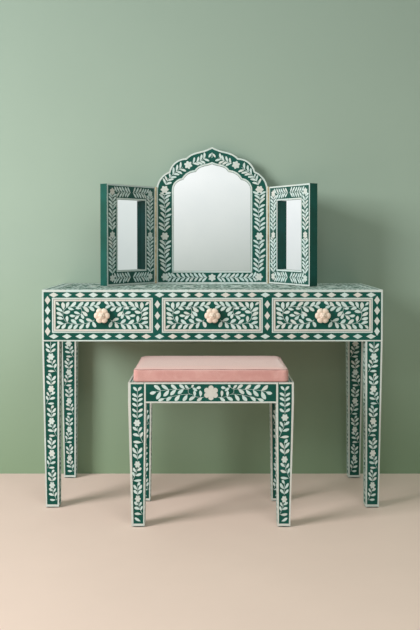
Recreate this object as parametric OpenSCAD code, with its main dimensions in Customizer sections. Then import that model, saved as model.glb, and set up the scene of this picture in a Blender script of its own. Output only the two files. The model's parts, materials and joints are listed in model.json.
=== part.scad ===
// Dressing table set in dark green resin with bone inlay: a three-drawer table,
// a folding three-panel mirror fixed at its back edge, and a cushioned stool.
// Millimetres. +Z up, +X to the sitter's right, -Y towards the sitter.
// Origin: on the floor, at the centre of the whole set's footprint.

/* [Table] */
// Width of the table
table_w = 1200; // [1100:5:1300]
// Depth of the table
table_d = 450; // [430:5:500]
// Height of the table
table_h = 775; // [740:1:800]
// Thickness of the top board
top_t = 33; // [28:1:36]
// Height of the case under the top board
case_h = 149; // [140:1:165]
// Height of the rail under the drawers
rail_h = 35; // [30:1:42]
// Width of a leg just under the case
leg_top = 60; // [54:1:66]
// Width of a leg at the floor
leg_foot = 46; // [38:1:50]
// How far a leg's outer faces lean in at the floor
leg_lean = 9.5; // [4:0.5:10]
// Width of a leg's post beside the drawers
post_w = 40; // [36:1:46]
// Thickness of the side and back aprons
apron_t = 22; // [18:1:26]
// Thickness of the glides under the feet
glide_t = 3; // [2:0.5:5]

/* [Drawers] */
// Width of the face between two drawers
divider_w = 42; // [36:1:50]
// Gap round a drawer front
drawer_gap = 1; // [0.8:0.1:1.5]
// Thickness of a drawer front
front_t = 20; // [16:1:24]
// Thickness of a drawer's sides and back
side_t = 12; // [10:1:14]
// Height of a drawer's sides
side_h = 92; // [80:1:100]
// Overall length of a drawer
drawer_l = 385; // [360:1:390]
// Diameter of a flower knob
knob_d = 56; // [48:1:60]
// How far a knob stands out
knob_out = 30; // [24:1:34]

/* [Mirror] */
// Width of the centre frame
mirror_w = 445; // [440:1:450]
// Thickness of every mirror frame
frame_t = 35; // [32:1:38]
// Depth from a frame's face to its glass
recess = 22; // [18:1:23]
// Thickness of the glass
glass_t = 4; // [3:0.5:5]
// Thickness of the backing boards
board_t = 6; // [5:0.5:6]
// Width of a wing
wing_w = 270; // [240:1:280]
// Height of a wing
wing_h = 384; // [370:1:390]
// Width of a wing's rails and stiles
wing_rail = 57; // [48:1:62]
// Gap between a wing and the table top
wing_lift = 2.5; // [2:0.5:4]
// How far the left wing is folded forward
fold_left = 52; // [40:1:75]
// How far the right wing is folded forward
fold_right = 60; // [40:1:75]

/* [Stool] */
// Width of the stool
stool_w = 545; // [500:5:580]
// Depth of the stool
stool_d = 345; // [320:5:380]
// Height of the stool's frame
stool_h = 482; // [440:1:500]
// Height of the stool's aprons
stool_apron_h = 68; // [60:1:76]
// Width of a stool leg at the top
sleg_top = 58; // [50:1:60]
// Width of a stool leg at the floor
sleg_foot = 42; // [36:1:46]
// How far a stool leg's outer faces lean in at the floor
sleg_lean = 10; // [4:0.5:10]
// Height of the cushion
cushion_h = 50; // [40:1:60]
// Rim of the frame left bare at each end of the cushion
cushion_in = 15; // [8:1:24]
// Rim of the frame left bare in front of the cushion
cushion_front = 2; // [0:1:18]
// Rim of the frame left bare behind the cushion
cushion_back = 18; // [8:1:24]
// Corner radius of the cushion
cushion_r = 24; // [14:1:60]
// How far the stool's front stands in front of the table's front
stool_out = 210; // [180:5:240]
// How far the stool stands to the left of the table's middle
stool_left = 5; // [0:1:20]

/* [Hidden] */
$fn = 64;

resin = [0.06, 0.30, 0.26];
bone = [0.90, 0.89, 0.82];
timber = [0.62, 0.45, 0.28];
brass = [0.66, 0.52, 0.28];
steel = [0.62, 0.63, 0.65];
silver = [0.80, 0.84, 0.86];
rubber = [0.10, 0.09, 0.08];
velvet = [0.86, 0.62, 0.60];

// table levels
hw = table_w / 2;
top_z = table_h - top_t;
case_z = top_z - case_h;
open_z = case_z + rail_h;
// drawer openings
open_w = (table_w - 2 * post_w - 2 * divider_w) / 3;
pitch = open_w + divider_w;
back_y = table_d - apron_t;
panel_t = 18;
// mirror
strap_t = 3;
mirror_y = table_d - frame_t;
hinge_gap = 3;
pin_r = 1.25;
barrel_r = 3;
leaf_t = 1.2;
leaf_w = 26;
knuckles = 16;
axis_x = mirror_w / 2 + hinge_gap / 2;
axis_y = mirror_y - barrel_r - 0.4;
wing_z = table_h + wing_lift;
// the whole set's footprint centre
mid_y = (table_d + strap_t - stool_out) / 2;

// from the table's front edge to the centre of the footprint
module in_place() { translate([0, -mid_y, 0]) children(); }
// the same piece on the left and on the right
module both_sides() { children(); mirror([1, 0, 0]) children(); }

// ---------- fasteners ----------
// wood screw: head at the origin, shank along -Z
module wood_screw(len, r = 2, head_r = 4, head_h = 2.4) {
    cylinder(h = 0.6, r = head_r);
    translate([0, 0, -head_h]) cylinder(h = head_h, r1 = r, r2 = head_r);
    translate([0, 0, -len]) cylinder(h = len - head_h, r = r);
}
// the countersunk seat that such a screw drops into
module screw_seat(t, r = 2, head_r = 4, head_h = 2.4) {
    cylinder(h = 2, r = head_r + 0.05);
    translate([0, 0, -head_h]) cylinder(h = head_h, r1 = r + 0.05, r2 = head_r + 0.05);
    translate([0, 0, -t - 1]) cylinder(h = t + 1, r = r + 0.05);
}

// ---------- table ----------
// tapered leg with a narrower post above the shoulder, outer corner at the origin,
// the body towards +X and +Y
module leg_body(w, foot, lean, low, shoulder, post, top) {
    intersection() {
        translate([0, w + 1, 0]) rotate([90, 0, 0]) linear_extrude(w + 2)
            polygon([[lean, low], [lean + foot, low], [w, shoulder], [w, shoulder + 0.01],
                [post, shoulder + 0.01], [post, top], [0, top], [0, shoulder]]);
        translate([-1, 0, 0]) rotate([90, 0, 90]) linear_extrude(w + 2)
            polygon([[lean, low], [lean + foot, low], [w, shoulder], [w, top],
                [0, top], [0, shoulder]]);
    }
}
module table_leg() {
    leg_body(leg_top, leg_foot, leg_lean, glide_t, case_z - 0.01, post_w, top_z);
}
module left_front_spot() { translate([-hw, 0, 0]) children(); }
module left_back_spot() { translate([-hw, table_d, 0]) mirror([0, 1, 0]) children(); }

module table_top() {
    color(resin) in_place() translate([-hw, 0, top_z]) cube([table_w, table_d, top_t]);
}
module front_rail() {
    color(resin) in_place() translate([-hw + post_w, 0, case_z])
        cube([table_w - 2 * post_w, apron_t, rail_h]);
}
module drawer_dividers() {
    color(resin) in_place() both_sides() {
        translate([-pitch / 2 - divider_w / 2, 0, open_z])
            cube([divider_w, apron_t, top_z - open_z]);
        translate([-pitch / 2 - panel_t / 2, apron_t, case_z])
            cube([panel_t, back_y - apron_t, top_z - case_z]);
    }
}
module side_apron() {
    translate([-hw, leg_top, case_z]) cube([apron_t, table_d - 2 * leg_top, case_h]);
}
module left_apron() { color(resin) in_place() side_apron(); }
module right_apron() { color(resin) in_place() mirror([1, 0, 0]) side_apron(); }
module back_apron() {
    color(resin) in_place() translate([-hw + post_w, back_y, case_z])
        cube([table_w - 2 * post_w, apron_t, case_h]);
}
module front_left_leg() { color(resin) in_place() left_front_spot() table_leg(); }
module front_right_leg() { color(resin) in_place() mirror([1, 0, 0]) left_front_spot() table_leg(); }
module back_left_leg() { color(resin) in_place() left_back_spot() table_leg(); }
module back_right_leg() { color(resin) in_place() mirror([1, 0, 0]) left_back_spot() table_leg(); }

// L-section runner: the drawer side stands on its foot, its wall keeps the drawer straight.
// Wall towards -X, foot towards +X; x0 is the wall's outer face
module runner(x0, wall, y0, y1) {
    translate([x0, y0, case_z + 5]) cube([wall + 22, y1 - y0, open_z - case_z - 5]);
    translate([x0, y0, open_z - 0.01]) cube([wall, y1 - y0, 24]);
}
module drawer_runners() {
    post_y0 = leg_top; post_y1 = table_d - leg_top;
    gap = (divider_w - panel_t) / 2;
    color(timber) in_place() {
        both_sides() runner(-hw + apron_t, post_w - apron_t, post_y0, post_y1);
        both_sides() mirror([1, 0, 0]) runner(pitch / 2 + panel_t / 2, gap, apron_t, back_y);
        both_sides() runner(-pitch / 2 + panel_t / 2, gap, apron_t, back_y);
    }
}
// blocks on the runners' far ends that stop each closed drawer flush
module drawer_stops() {
    color(timber) in_place() for (i = [-1, 0, 1]) for (s = [-1, 1])
        translate([i * pitch + s * 60 - 12, drawer_l + 0.5, top_z - 60])
            cube([24, back_y - drawer_l - 0.5, 46]);
}
module top_cleats() {
    color(timber) in_place() {
        both_sides() translate([-hw + apron_t, leg_top, top_z - 24])
            cube([post_w - apron_t - 1, table_d - 2 * leg_top, 24]);
    }
}
module table_screws() {
    color(steel) in_place() both_sides() {
        for (y = [100, 225, 350])
            translate([-hw + (apron_t + post_w - 1) / 2, y, top_z - 24 + 0.6])
                mirror([0, 0, 1]) wood_screw(42);
    }
}
module glide_at(w, lean) {
    translate([lean + w / 2, lean + w / 2, 0]) cylinder(h = glide_t, r = w / 2 - 6);
}
module table_glides() {
    color(rubber) in_place() both_sides() {
        left_front_spot() glide_at(leg_foot, leg_lean);
        left_back_spot() glide_at(leg_foot, leg_lean);
    }
}

// ---------- drawers ----------
fw = open_w - 2 * drawer_gap;
fh = top_z - open_z - 2 * drawer_gap;
side_z = open_z + 0.5;
module drawer_front(i) {
    color(resin) in_place() translate([i * pitch - fw / 2, 0, open_z + drawer_gap])
        cube([fw, front_t, fh]);
}
// two sides and the back, three boards
module drawer_sides(i) {
    color(timber) in_place() translate([i * pitch, front_t, side_z]) {
        both_sides() difference() {
            translate([-fw / 2, 0, 0]) cube([side_t, drawer_l - front_t, side_h]);
            // groove for the bottom board
            translate([-fw / 2 + side_t - 5, -1, 12]) cube([6, drawer_l, 6]);
        }
        translate([-fw / 2 + side_t + 0.05, drawer_l - front_t - side_t, 18])
            cube([fw - 2 * side_t - 0.1, side_t, side_h - 18]);
    }
}
module drawer_bottom(i) {
    color(timber) in_place() translate([i * pitch - fw / 2 + side_t - 4.5, front_t, side_z + 12.1])
        cube([fw - 2 * side_t + 9, drawer_l - front_t, 5.8]);
}
knob_z = (open_z + top_z) / 2;
module drawer_knob(i) {
    k = knob_d / 2;
    o = knob_out;
    color(bone) in_place() translate([i * pitch, 0, knob_z]) rotate([90, 0, 0])
        rotate_extrude() polygon([[0, 0], [k * 0.42, 0], [k * 0.36, o * 0.22], [k * 0.55, o * 0.34],
            [k * 0.90, o * 0.36], [k, o * 0.46], [k * 0.97, o * 0.60], [k * 0.84, o * 0.74],
            [k * 0.60, o * 0.86], [k * 0.40, o * 0.92], [k * 0.30, o * 0.98], [0, o]]);
}
module knob_screw(i) {
    color(steel) in_place() translate([i * pitch, front_t, knob_z]) rotate([-90, 0, 0]) {
        cylinder(h = 2.2, r = 4.2);
        translate([0, 0, -front_t - 14]) cylinder(h = front_t + 14, r = 2);
    }
}
module left_drawer_front() { drawer_front(-1); }
module left_drawer_sides() { drawer_sides(-1); }
module left_drawer_bottom() { drawer_bottom(-1); }
module left_knob() { drawer_knob(-1); }
module left_knob_screw() { knob_screw(-1); }
module middle_drawer_front() { drawer_front(0); }
module middle_drawer_sides() { drawer_sides(0); }
module middle_drawer_bottom() { drawer_bottom(0); }
module middle_knob() { drawer_knob(0); }
module middle_knob_screw() { knob_screw(0); }
module right_drawer_front() { drawer_front(1); }
module right_drawer_sides() { drawer_sides(1); }
module right_drawer_bottom() { drawer_bottom(1); }
module right_knob() { drawer_knob(1); }
module right_knob_screw() { knob_screw(1); }

// ---------- centre mirror ----------
// outer outline: straight sides, two rounded lobes a side and an ogee point
module arch_outer() {
    m = mirror_w / 2;
    translate([-m, 0]) square([2 * m, 372.6]);
    translate([-104, 300]) square([208, 143]);
    for (s = [-1, 1]) {
        translate([s * (m - 81.3), 372.6]) circle(r = 81.3);
        translate([s * 103.4, 430.8]) circle(r = 70.1);
        translate([s * 45, 443]) circle(r = 82.8);
    }
    ogee_point(58, 450, 86.3, 702.4, 179, 12);
}
// ogee point over a flat base: two hollow arcs of radius r, centred at (+-cx, cz),
// that run in from x = +-w and meet on the middle line
module ogee_point(w, z0, cx, cz, r, n) {
    half = [for (i = [0:n]) let (x = w * (1 - i / n)) [x, cz - sqrt(r * r - (cx - x) * (cx - x))]];
    polygon(concat([[w, z0]], half, [for (i = [n - 1:-1:0]) [-half[i][0], half[i][1]]], [[-w, z0]]));
}
// inner opening of the same family, grown by g for the rebates behind it
module arch_inner(g = 0) {
    m = 153.8;
    translate([-m - g, 51.1 - g]) square([2 * (m + g), 375 - 51.1 + g]);
    translate([-112.9, 300]) square([225.8, 89.5]);
    translate([-64.3, 300]) square([128.6, 130]);
    for (s = [-1, 1]) {
        translate([s * 112.9, 375]) circle(r = 40.9 + g);
        translate([s * 64.3, 389.5]) circle(r = 57.8 + g);
        translate([s * 30, 429.5]) circle(r = 39.2 + g);
    }
    ogee_point(34, 420, 45, 579.4, 110 - g, 10);
}
// stands a flat outline up, its face towards -Y at the origin's plane, from depth a to b
module upright(a, b) {
    translate([0, b, 0]) rotate([90, 0, 0]) linear_extrude(b - a) children();
}
glass_g = 6;
board_g = 16;
glass_y = recess;
board_y = recess + glass_t + 0.2;
module mirror_spot() { translate([0, mirror_y, table_h]) children(); }
module mirror_frame() {
    color(resin) in_place() mirror_spot() difference() {
        upright(0, frame_t) arch_outer();
        upright(-1, frame_t + 1) arch_inner(0);
        upright(glass_y, frame_t + 1) arch_inner(glass_g);
        upright(board_y, frame_t + 1) arch_inner(board_g);
    }
}
module mirror_glass() {
    color(silver) in_place() mirror_spot() upright(glass_y, glass_y + glass_t) arch_inner(glass_g - 0.5);
}
board_screw_xz = [for (s = [-1, 1]) for (z = [62, 200, 340]) [s * (153.8 + 11), z],
    [-70, 51.1 - 11], [70, 51.1 - 11], [-76, 389.5 + 67], [76, 389.5 + 67]];
module mirror_backboard() {
    color(timber) in_place() mirror_spot() difference() {
        upright(board_y, board_y + board_t) arch_inner(board_g - 0.5);
        for (p = board_screw_xz) translate([p[0], board_y + board_t - 0.6, p[1]]) rotate([-90, 0, 0])
            screw_seat(board_t, 1.5, 3, 1.8);
    }
}
// two flat straps behind the mirror's bottom rail and the table's back edge
strap_screws = [[0, -115], [0, -20], [0, 18], [0, 150], [0, 300]];
module mirror_straps() {
    color(steel) in_place() both_sides() difference() {
        translate([-204, table_d, table_h - 130]) cube([24, strap_t, 460]);
        for (p = strap_screws) translate([-192, table_d + strap_t - 0.6, table_h + p[1]])
            rotate([-90, 0, 0]) screw_seat(strap_t, 2, 4, 2.4);
    }
}
// screws: straps to table and mirror, backing board to frame, hinge leaves to frame
leaf_screw_z = [24 * 1.5, 24 * 5.5, 24 * 10.5, 24 * 14.5];
module leaf_screws() {
    // hinge leaf's outer face is at x = leaf_t, screws run along -X
    for (z = leaf_screw_z) translate([leaf_t - 0.62, leaf_w / 2 + 4, z]) rotate([0, 90, 0])
        wood_screw(16, 1.2, 2.2, 1.2);
}
module mirror_screws() {
    color(steel) in_place() {
        both_sides() for (p = strap_screws) translate([-192, table_d + strap_t - 0.6, table_h + p[1]])
            rotate([-90, 0, 0]) wood_screw(p[1] < 0 ? 24 : 20);
        mirror_spot() for (p = board_screw_xz)
            translate([p[0], board_y + board_t - 0.6, p[1]]) rotate([-90, 0, 0])
                wood_screw(11, 1.5, 3, 1.8);
        for (s = [0, 1]) mirror([s, 0, 0]) translate([-mirror_w / 2, mirror_y, wing_z])
            mirror([1, 0, 0]) leaf_screws();
    }
}

// ---------- hinges ----------
kn = wing_h / knuckles;
// hinge in its own frame: pin along +Z at the origin, leaf plate at x = side * hinge_gap/2,
// reaching to +Y; which = 0 takes the even knuckles, 1 the odd ones
module hinge_half(which, side) {
    x_face = side * hinge_gap / 2;
    x_low = side > 0 ? x_face - leaf_t : x_face;
    difference() {
        union() {
            translate([x_low, 0, 0]) cube([leaf_t, leaf_w + barrel_r, wing_h]);
            for (k = [0:knuckles - 1]) if (k % 2 == which)
                translate([0, 0, k * kn + 0.2]) cylinder(h = kn - 0.4, r = barrel_r);
        }
        translate([0, 0, -1]) cylinder(h = wing_h + 2, r = pin_r + 0.05);
        for (k = [0:knuckles - 1]) if (k % 2 != which)
            translate([0, 0, k * kn - 0.2]) cylinder(h = kn + 0.4, r = barrel_r + 0.35);
        for (z = leaf_screw_z)
            translate([side * (hinge_gap / 2 - leaf_t + 0.62), barrel_r + 0.4 + leaf_w / 2 + 4, z])
                rotate([0, side > 0 ? -90 : 90, 0]) screw_seat(leaf_t, 1.2, 2.2, 1.2);
    }
}
module axis_spot(s) { translate([s * axis_x, axis_y, wing_z]) children(); }
module hinge_leaves() {
    color(brass) in_place() both_sides() axis_spot(-1) hinge_half(0, 1);
}
module hinge_pins() {
    color(brass) in_place() both_sides() axis_spot(-1) cylinder(h = wing_h, r = pin_r);
}

// ---------- wings ----------
// left wing folded forward by a degrees; its own frame is the open, coplanar place
module folded_left(a) {
    axis_spot(-1) rotate([0, 0, a]) translate([-hinge_gap / 2, barrel_r + 0.4, 0]) children();
}
module wing_place(side) {
    if (side < 0) folded_left(fold_left) children();
    else mirror([1, 0, 0]) folded_left(fold_right) children();
}
// wing outline lies from x = -wing_w to 0, face at y = 0
module wing_rect(g) {
    translate([-wing_w + wing_rail - g, wing_rail - g])
        square([wing_w - 2 * wing_rail + 2 * g, wing_h - 2 * wing_rail + 2 * g]);
}
module wing_frame() {
    difference() {
        translate([-wing_w, 0, 0]) cube([wing_w, frame_t, wing_h]);
        upright(-1, frame_t + 1) wing_rect(0);
        upright(glass_y, frame_t + 1) wing_rect(glass_g);
        upright(board_y, frame_t + 1) wing_rect(board_g);
    }
}
module wing_glass() { upright(glass_y, glass_y + glass_t) wing_rect(glass_g - 0.5); }
wing_screw_xz = [for (x = [-wing_w + wing_rail - 11, -wing_rail + 11]) for (z = [60, wing_h / 2, wing_h - 60]) [x, z]];
module wing_board() {
    difference() {
        upright(board_y, board_y + board_t) wing_rect(board_g - 0.5);
        for (p = wing_screw_xz) translate([p[0], board_y + board_t - 0.6, p[1]]) rotate([-90, 0, 0])
            screw_seat(board_t, 1.5, 3, 1.8);
    }
}
module wing_screws() {
    for (p = wing_screw_xz) translate([p[0], board_y + board_t - 0.6, p[1]])
        rotate([-90, 0, 0]) wood_screw(11, 1.5, 3, 1.8);
    leaf_screws();
}
module left_wing_frame() { color(resin) in_place() wing_place(-1) wing_frame(); }
module left_wing_glass() { color(silver) in_place() wing_place(-1) wing_glass(); }
module left_wing_backboard() { color(timber) in_place() wing_place(-1) wing_board(); }
module left_wing_screws() { color(steel) in_place() wing_place(-1) wing_screws(); }
module left_wing_hinge_leaf() {
    color(brass) in_place() axis_spot(-1) rotate([0, 0, fold_left]) hinge_half(1, -1);
}
module right_wing_frame() { color(resin) in_place() wing_place(1) wing_frame(); }
module right_wing_glass() { color(silver) in_place() wing_place(1) wing_glass(); }
module right_wing_backboard() { color(timber) in_place() wing_place(1) wing_board(); }
module right_wing_screws() { color(steel) in_place() wing_place(1) wing_screws(); }
module right_wing_hinge_leaf() {
    color(brass) in_place() mirror([1, 0, 0]) axis_spot(-1) rotate([0, 0, fold_right]) hinge_half(1, -1);
}

// ---------- stool ----------
sw = stool_w / 2;
sapron_z = stool_h - stool_apron_h;
sapron_t = 22;
seat_t = 16;
module stool_place() { in_place() translate([-stool_left, -stool_out, 0]) children(); }
module stool_leg() {
    leg_body(sleg_top, sleg_foot, sleg_lean, glide_t, sapron_z, sleg_top, stool_h);
}
module stool_front_spot() { translate([-sw, 0, 0]) children(); }
module stool_back_spot() { translate([-sw, stool_d, 0]) mirror([0, 1, 0]) children(); }
module stool_front_left_leg() { color(resin) stool_place() stool_front_spot() stool_leg(); }
module stool_front_right_leg() { color(resin) stool_place() mirror([1, 0, 0]) stool_front_spot() stool_leg(); }
module stool_back_left_leg() { color(resin) stool_place() stool_back_spot() stool_leg(); }
module stool_back_right_leg() { color(resin) stool_place() mirror([1, 0, 0]) stool_back_spot() stool_leg(); }
module stool_front_apron() {
    color(resin) stool_place() translate([-sw + sleg_top, 0, sapron_z])
        cube([stool_w - 2 * sleg_top, sapron_t, stool_apron_h]);
}
module stool_back_apron() {
    color(resin) stool_place() translate([-sw + sleg_top, stool_d - sapron_t, sapron_z])
        cube([stool_w - 2 * sleg_top, sapron_t, stool_apron_h]);
}
module stool_side_aprons() {
    color(resin) stool_place() both_sides() translate([-sw, sleg_top, sapron_z])
        cube([sapron_t, stool_d - 2 * sleg_top, stool_apron_h]);
}
module stool_seat_board() {
    color(timber) stool_place() translate([0, 0, stool_h - seat_t]) {
        translate([-sw + sleg_top, sapron_t, 0])
            cube([stool_w - 2 * sleg_top, stool_d - 2 * sapron_t, seat_t]);
        translate([-sw + sapron_t, sleg_top, 0])
            cube([stool_w - 2 * sapron_t, stool_d - 2 * sleg_top, seat_t]);
    }
}
module rounded_plan(x, y, r) {
    translate([-x + r, -y]) square([2 * (x - r), 2 * y]);
    translate([-x, -y + r]) square([2 * x, 2 * (y - r)]);
    for (i = [-1, 1]) for (j = [-1, 1]) translate([i * (x - r), j * (y - r)]) circle(r = r);
}
module stool_cushion() {
    color(velvet) stool_place() translate([0, (stool_d + cushion_front - cushion_back) / 2, stool_h])
        linear_extrude(cushion_h)
            rounded_plan(sw - cushion_in, (stool_d - cushion_front - cushion_back) / 2, cushion_r);
}
// three-sided blocks glued into the corners under the seat board
module stool_block() {
    translate([sleg_top, sapron_t, sapron_z + 6]) linear_extrude(stool_apron_h - seat_t - 6)
        polygon([[0, 0], [46, 0], [0, 46]]);
}
module stool_corner_blocks() {
    color(timber) stool_place() both_sides() {
        stool_front_spot() stool_block();
        stool_back_spot() stool_block();
    }
}
module stool_screw() {
    // up through a corner block into the seat board
    translate([sleg_top + 15, sapron_t + 15, sapron_z + 6 + 0.6]) mirror([0, 0, 1]) wood_screw(54);
}
module stool_screws() {
    color(steel) stool_place() both_sides() {
        stool_front_spot() stool_screw();
        stool_back_spot() stool_screw();
    }
}
module stool_glides() {
    color(rubber) stool_place() both_sides() {
        stool_front_spot() glide_at(sleg_foot, sleg_lean);
        stool_back_spot() glide_at(sleg_foot, sleg_lean);
    }
}

table_top();
front_rail();
drawer_dividers();
left_apron();
right_apron();
back_apron();
front_left_leg();
front_right_leg();
back_left_leg();
back_right_leg();
drawer_runners();
drawer_stops();
top_cleats();
table_screws();
table_glides();
left_drawer_front();
left_drawer_sides();
left_drawer_bottom();
left_knob();
left_knob_screw();
middle_drawer_front();
middle_drawer_sides();
middle_drawer_bottom();
middle_knob();
middle_knob_screw();
right_drawer_front();
right_drawer_sides();
right_drawer_bottom();
right_knob();
right_knob_screw();
mirror_frame();
mirror_glass();
mirror_backboard();
mirror_straps();
mirror_screws();
hinge_leaves();
hinge_pins();
left_wing_frame();
left_wing_glass();
left_wing_backboard();
left_wing_hinge_leaf();
left_wing_screws();
right_wing_frame();
right_wing_glass();
right_wing_backboard();
right_wing_hinge_leaf();
right_wing_screws();
stool_front_left_leg();
stool_front_right_leg();
stool_back_left_leg();
stool_back_right_leg();
stool_front_apron();
stool_back_apron();
stool_side_aprons();
stool_seat_board();
stool_cushion();
stool_corner_blocks();
stool_screws();
stool_glides();
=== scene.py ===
import json
import math
import random

import bpy
import numpy as np
from mathutils import Matrix, Vector

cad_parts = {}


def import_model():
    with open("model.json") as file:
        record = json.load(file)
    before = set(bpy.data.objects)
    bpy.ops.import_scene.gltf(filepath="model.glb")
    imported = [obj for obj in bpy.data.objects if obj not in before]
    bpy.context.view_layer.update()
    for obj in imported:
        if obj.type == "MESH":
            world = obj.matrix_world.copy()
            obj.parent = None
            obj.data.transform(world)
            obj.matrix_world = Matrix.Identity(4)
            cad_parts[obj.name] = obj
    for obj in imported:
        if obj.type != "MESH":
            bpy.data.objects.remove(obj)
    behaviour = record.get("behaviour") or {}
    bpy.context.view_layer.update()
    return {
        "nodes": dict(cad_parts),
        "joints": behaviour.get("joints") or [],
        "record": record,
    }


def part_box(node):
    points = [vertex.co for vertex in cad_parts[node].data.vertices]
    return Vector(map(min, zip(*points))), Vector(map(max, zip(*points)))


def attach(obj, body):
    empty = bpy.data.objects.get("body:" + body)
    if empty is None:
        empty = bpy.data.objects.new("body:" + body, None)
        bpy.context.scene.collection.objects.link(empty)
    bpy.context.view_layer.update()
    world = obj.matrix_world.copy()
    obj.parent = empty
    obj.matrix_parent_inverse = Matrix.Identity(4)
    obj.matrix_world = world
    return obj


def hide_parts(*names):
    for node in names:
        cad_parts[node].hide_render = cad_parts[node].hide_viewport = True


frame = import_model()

NODES = frame["nodes"]
MM = 0.001


def lin(r, g, b):
    """sRGB 0-255 to linear."""
    out = []
    for c in (r, g, b):
        c /= 255.0
        out.append(c / 12.92 if c <= 0.04045 else ((c + 0.055) / 1.055) ** 2.4)
    return (*out, 1.0)


# ---------------------------------------------------------------------------
# materials
# ---------------------------------------------------------------------------
class Nodes:
    """A material's node tree, with short calls for the nodes that are used here."""

    def __init__(self, name):
        self.mat = bpy.data.materials.new(name)
        self.mat.use_nodes = True
        self.t = self.mat.node_tree
        self.t.nodes.clear()
        self.out = self.t.nodes.new("ShaderNodeOutputMaterial")
        self.p = self.t.nodes.new("ShaderNodeBsdfPrincipled")
        self.link(self.p.outputs[0], self.out.inputs["Surface"])
        self.coord = self.t.nodes.new("ShaderNodeTexCoord").outputs["Object"]

    def link(self, a, b):
        self.t.links.new(a, b)

    def put(self, socket, value):
        if isinstance(value, bpy.types.NodeSocket):
            self.link(value, socket)
        elif value is not None:
            socket.default_value = value

    def scaled(self, x, y, z, rot=(0, 0, 0)):
        n = self.t.nodes.new("ShaderNodeMapping")
        n.inputs["Scale"].default_value = (x, y, z)
        n.inputs["Rotation"].default_value = rot
        self.link(self.coord, n.inputs["Vector"])
        return n.outputs[0]

    def noise(self, scale, detail=3.0, rough=0.5, vector=None, distortion=0.0):
        n = self.t.nodes.new("ShaderNodeTexNoise")
        n.inputs["Scale"].default_value = scale
        n.inputs["Detail"].default_value = detail
        n.inputs["Roughness"].default_value = rough
        n.inputs["Distortion"].default_value = distortion
        self.link(vector or self.coord, n.inputs["Vector"])
        return n.outputs["Fac"]

    def voronoi(self, scale, vector=None, feature="F1"):
        n = self.t.nodes.new("ShaderNodeTexVoronoi")
        n.feature = feature
        n.inputs["Scale"].default_value = scale
        self.link(vector or self.coord, n.inputs["Vector"])
        return n.outputs["Distance"]

    def attribute(self, name):
        n = self.t.nodes.new("ShaderNodeAttribute")
        n.attribute_name = name
        return n.outputs["Fac"]

    def ramp(self, value, lo, hi, a=0.0, b=1.0):
        n = self.t.nodes.new("ShaderNodeMapRange")
        n.inputs["From Min"].default_value = lo
        n.inputs["From Max"].default_value = hi
        n.inputs["To Min"].default_value = a
        n.inputs["To Max"].default_value = b
        self.put(n.inputs["Value"], value)
        return n.outputs[0]

    def maths(self, op, a, b=None):
        n = self.t.nodes.new("ShaderNodeMath")
        n.operation = op
        self.put(n.inputs[0], a)
        self.put(n.inputs[1], b)
        return n.outputs[0]

    def mix(self, fac, a, b, mode="MIX"):
        n = self.t.nodes.new("ShaderNodeMix")
        n.data_type = "RGBA"
        n.blend_type = mode
        self.put(n.inputs[0], fac)
        self.put(n.inputs[6], a)
        self.put(n.inputs[7], b)
        return n.outputs[2]

    def bump(self, height, strength, distance=0.0005):
        n = self.t.nodes.new("ShaderNodeBump")
        n.inputs["Strength"].default_value = strength
        n.inputs["Distance"].default_value = distance
        self.link(height, n.inputs["Height"])
        self.link(n.outputs[0], self.p.inputs["Normal"])

    def done(self, **sockets):
        for k, v in sockets.items():
            self.put(self.p.inputs[k.replace("_", " ")], v)
        return self.mat


def make_resin(name, a, b, dust, rough=(0.30, 0.44)):
    """Poured resin: two greens that drift into each other, bone dust, fine scratches from the sanding."""
    m = Nodes(name)
    drift = m.ramp(m.noise(14.0, 3.0, 0.55), 0.36, 0.64)
    colour = m.mix(drift, a, b)
    cloud = m.ramp(m.noise(60.0, 4.0, 0.6), 0.35, 0.75, 0.0, 0.35)
    colour = m.mix(cloud, colour, tuple(c * 0.72 for c in a[:3]) + (1.0,))
    specks = m.ramp(m.voronoi(620.0), 0.0, 0.16, 0.30, 0.0)
    colour = m.mix(specks, colour, dust)
    sanding = m.noise(90.0, 2.0, 0.5, m.scaled(1.0, 1.0, 14.0))
    m.bump(m.noise(420.0, 2.0, 0.6), 0.10, 0.0004)
    m.p.inputs["Specular IOR Level"].default_value = 0.22
    return m.done(Base_Color=colour, Roughness=m.ramp(sanding, 0.3, 0.7, *rough), IOR=1.5)


def make_bone(name, pale, cool, tan, rough=0.36):
    """Cut bone: each piece has its own tone, with pores and faint lengthwise streaks."""
    m = Nodes(name)
    colour = m.mix(m.attribute("tone"), pale, cool)
    colour = m.mix(m.attribute("hue"), colour, tan)
    streak = m.ramp(m.noise(55.0, 4.0, 0.6, m.scaled(1.0, 1.0, 6.0)), 0.40, 0.75, 0.0, 0.30)
    colour = m.mix(streak, colour, tuple(c * 0.80 for c in tan[:3]) + (1.0,))
    pores = m.ramp(m.voronoi(900.0), 0.0, 0.12, 0.35, 0.0)
    colour = m.mix(pores, colour, tuple(c * 0.45 for c in tan[:3]) + (1.0,))
    m.bump(m.noise(700.0, 2.0, 0.6), 0.12, 0.0003)
    rough_out = m.ramp(m.noise(120.0, 3.0), 0.3, 0.7, rough - 0.06, rough + 0.10)
    return m.done(Base_Color=colour, Roughness=rough_out, IOR=1.54)


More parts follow.
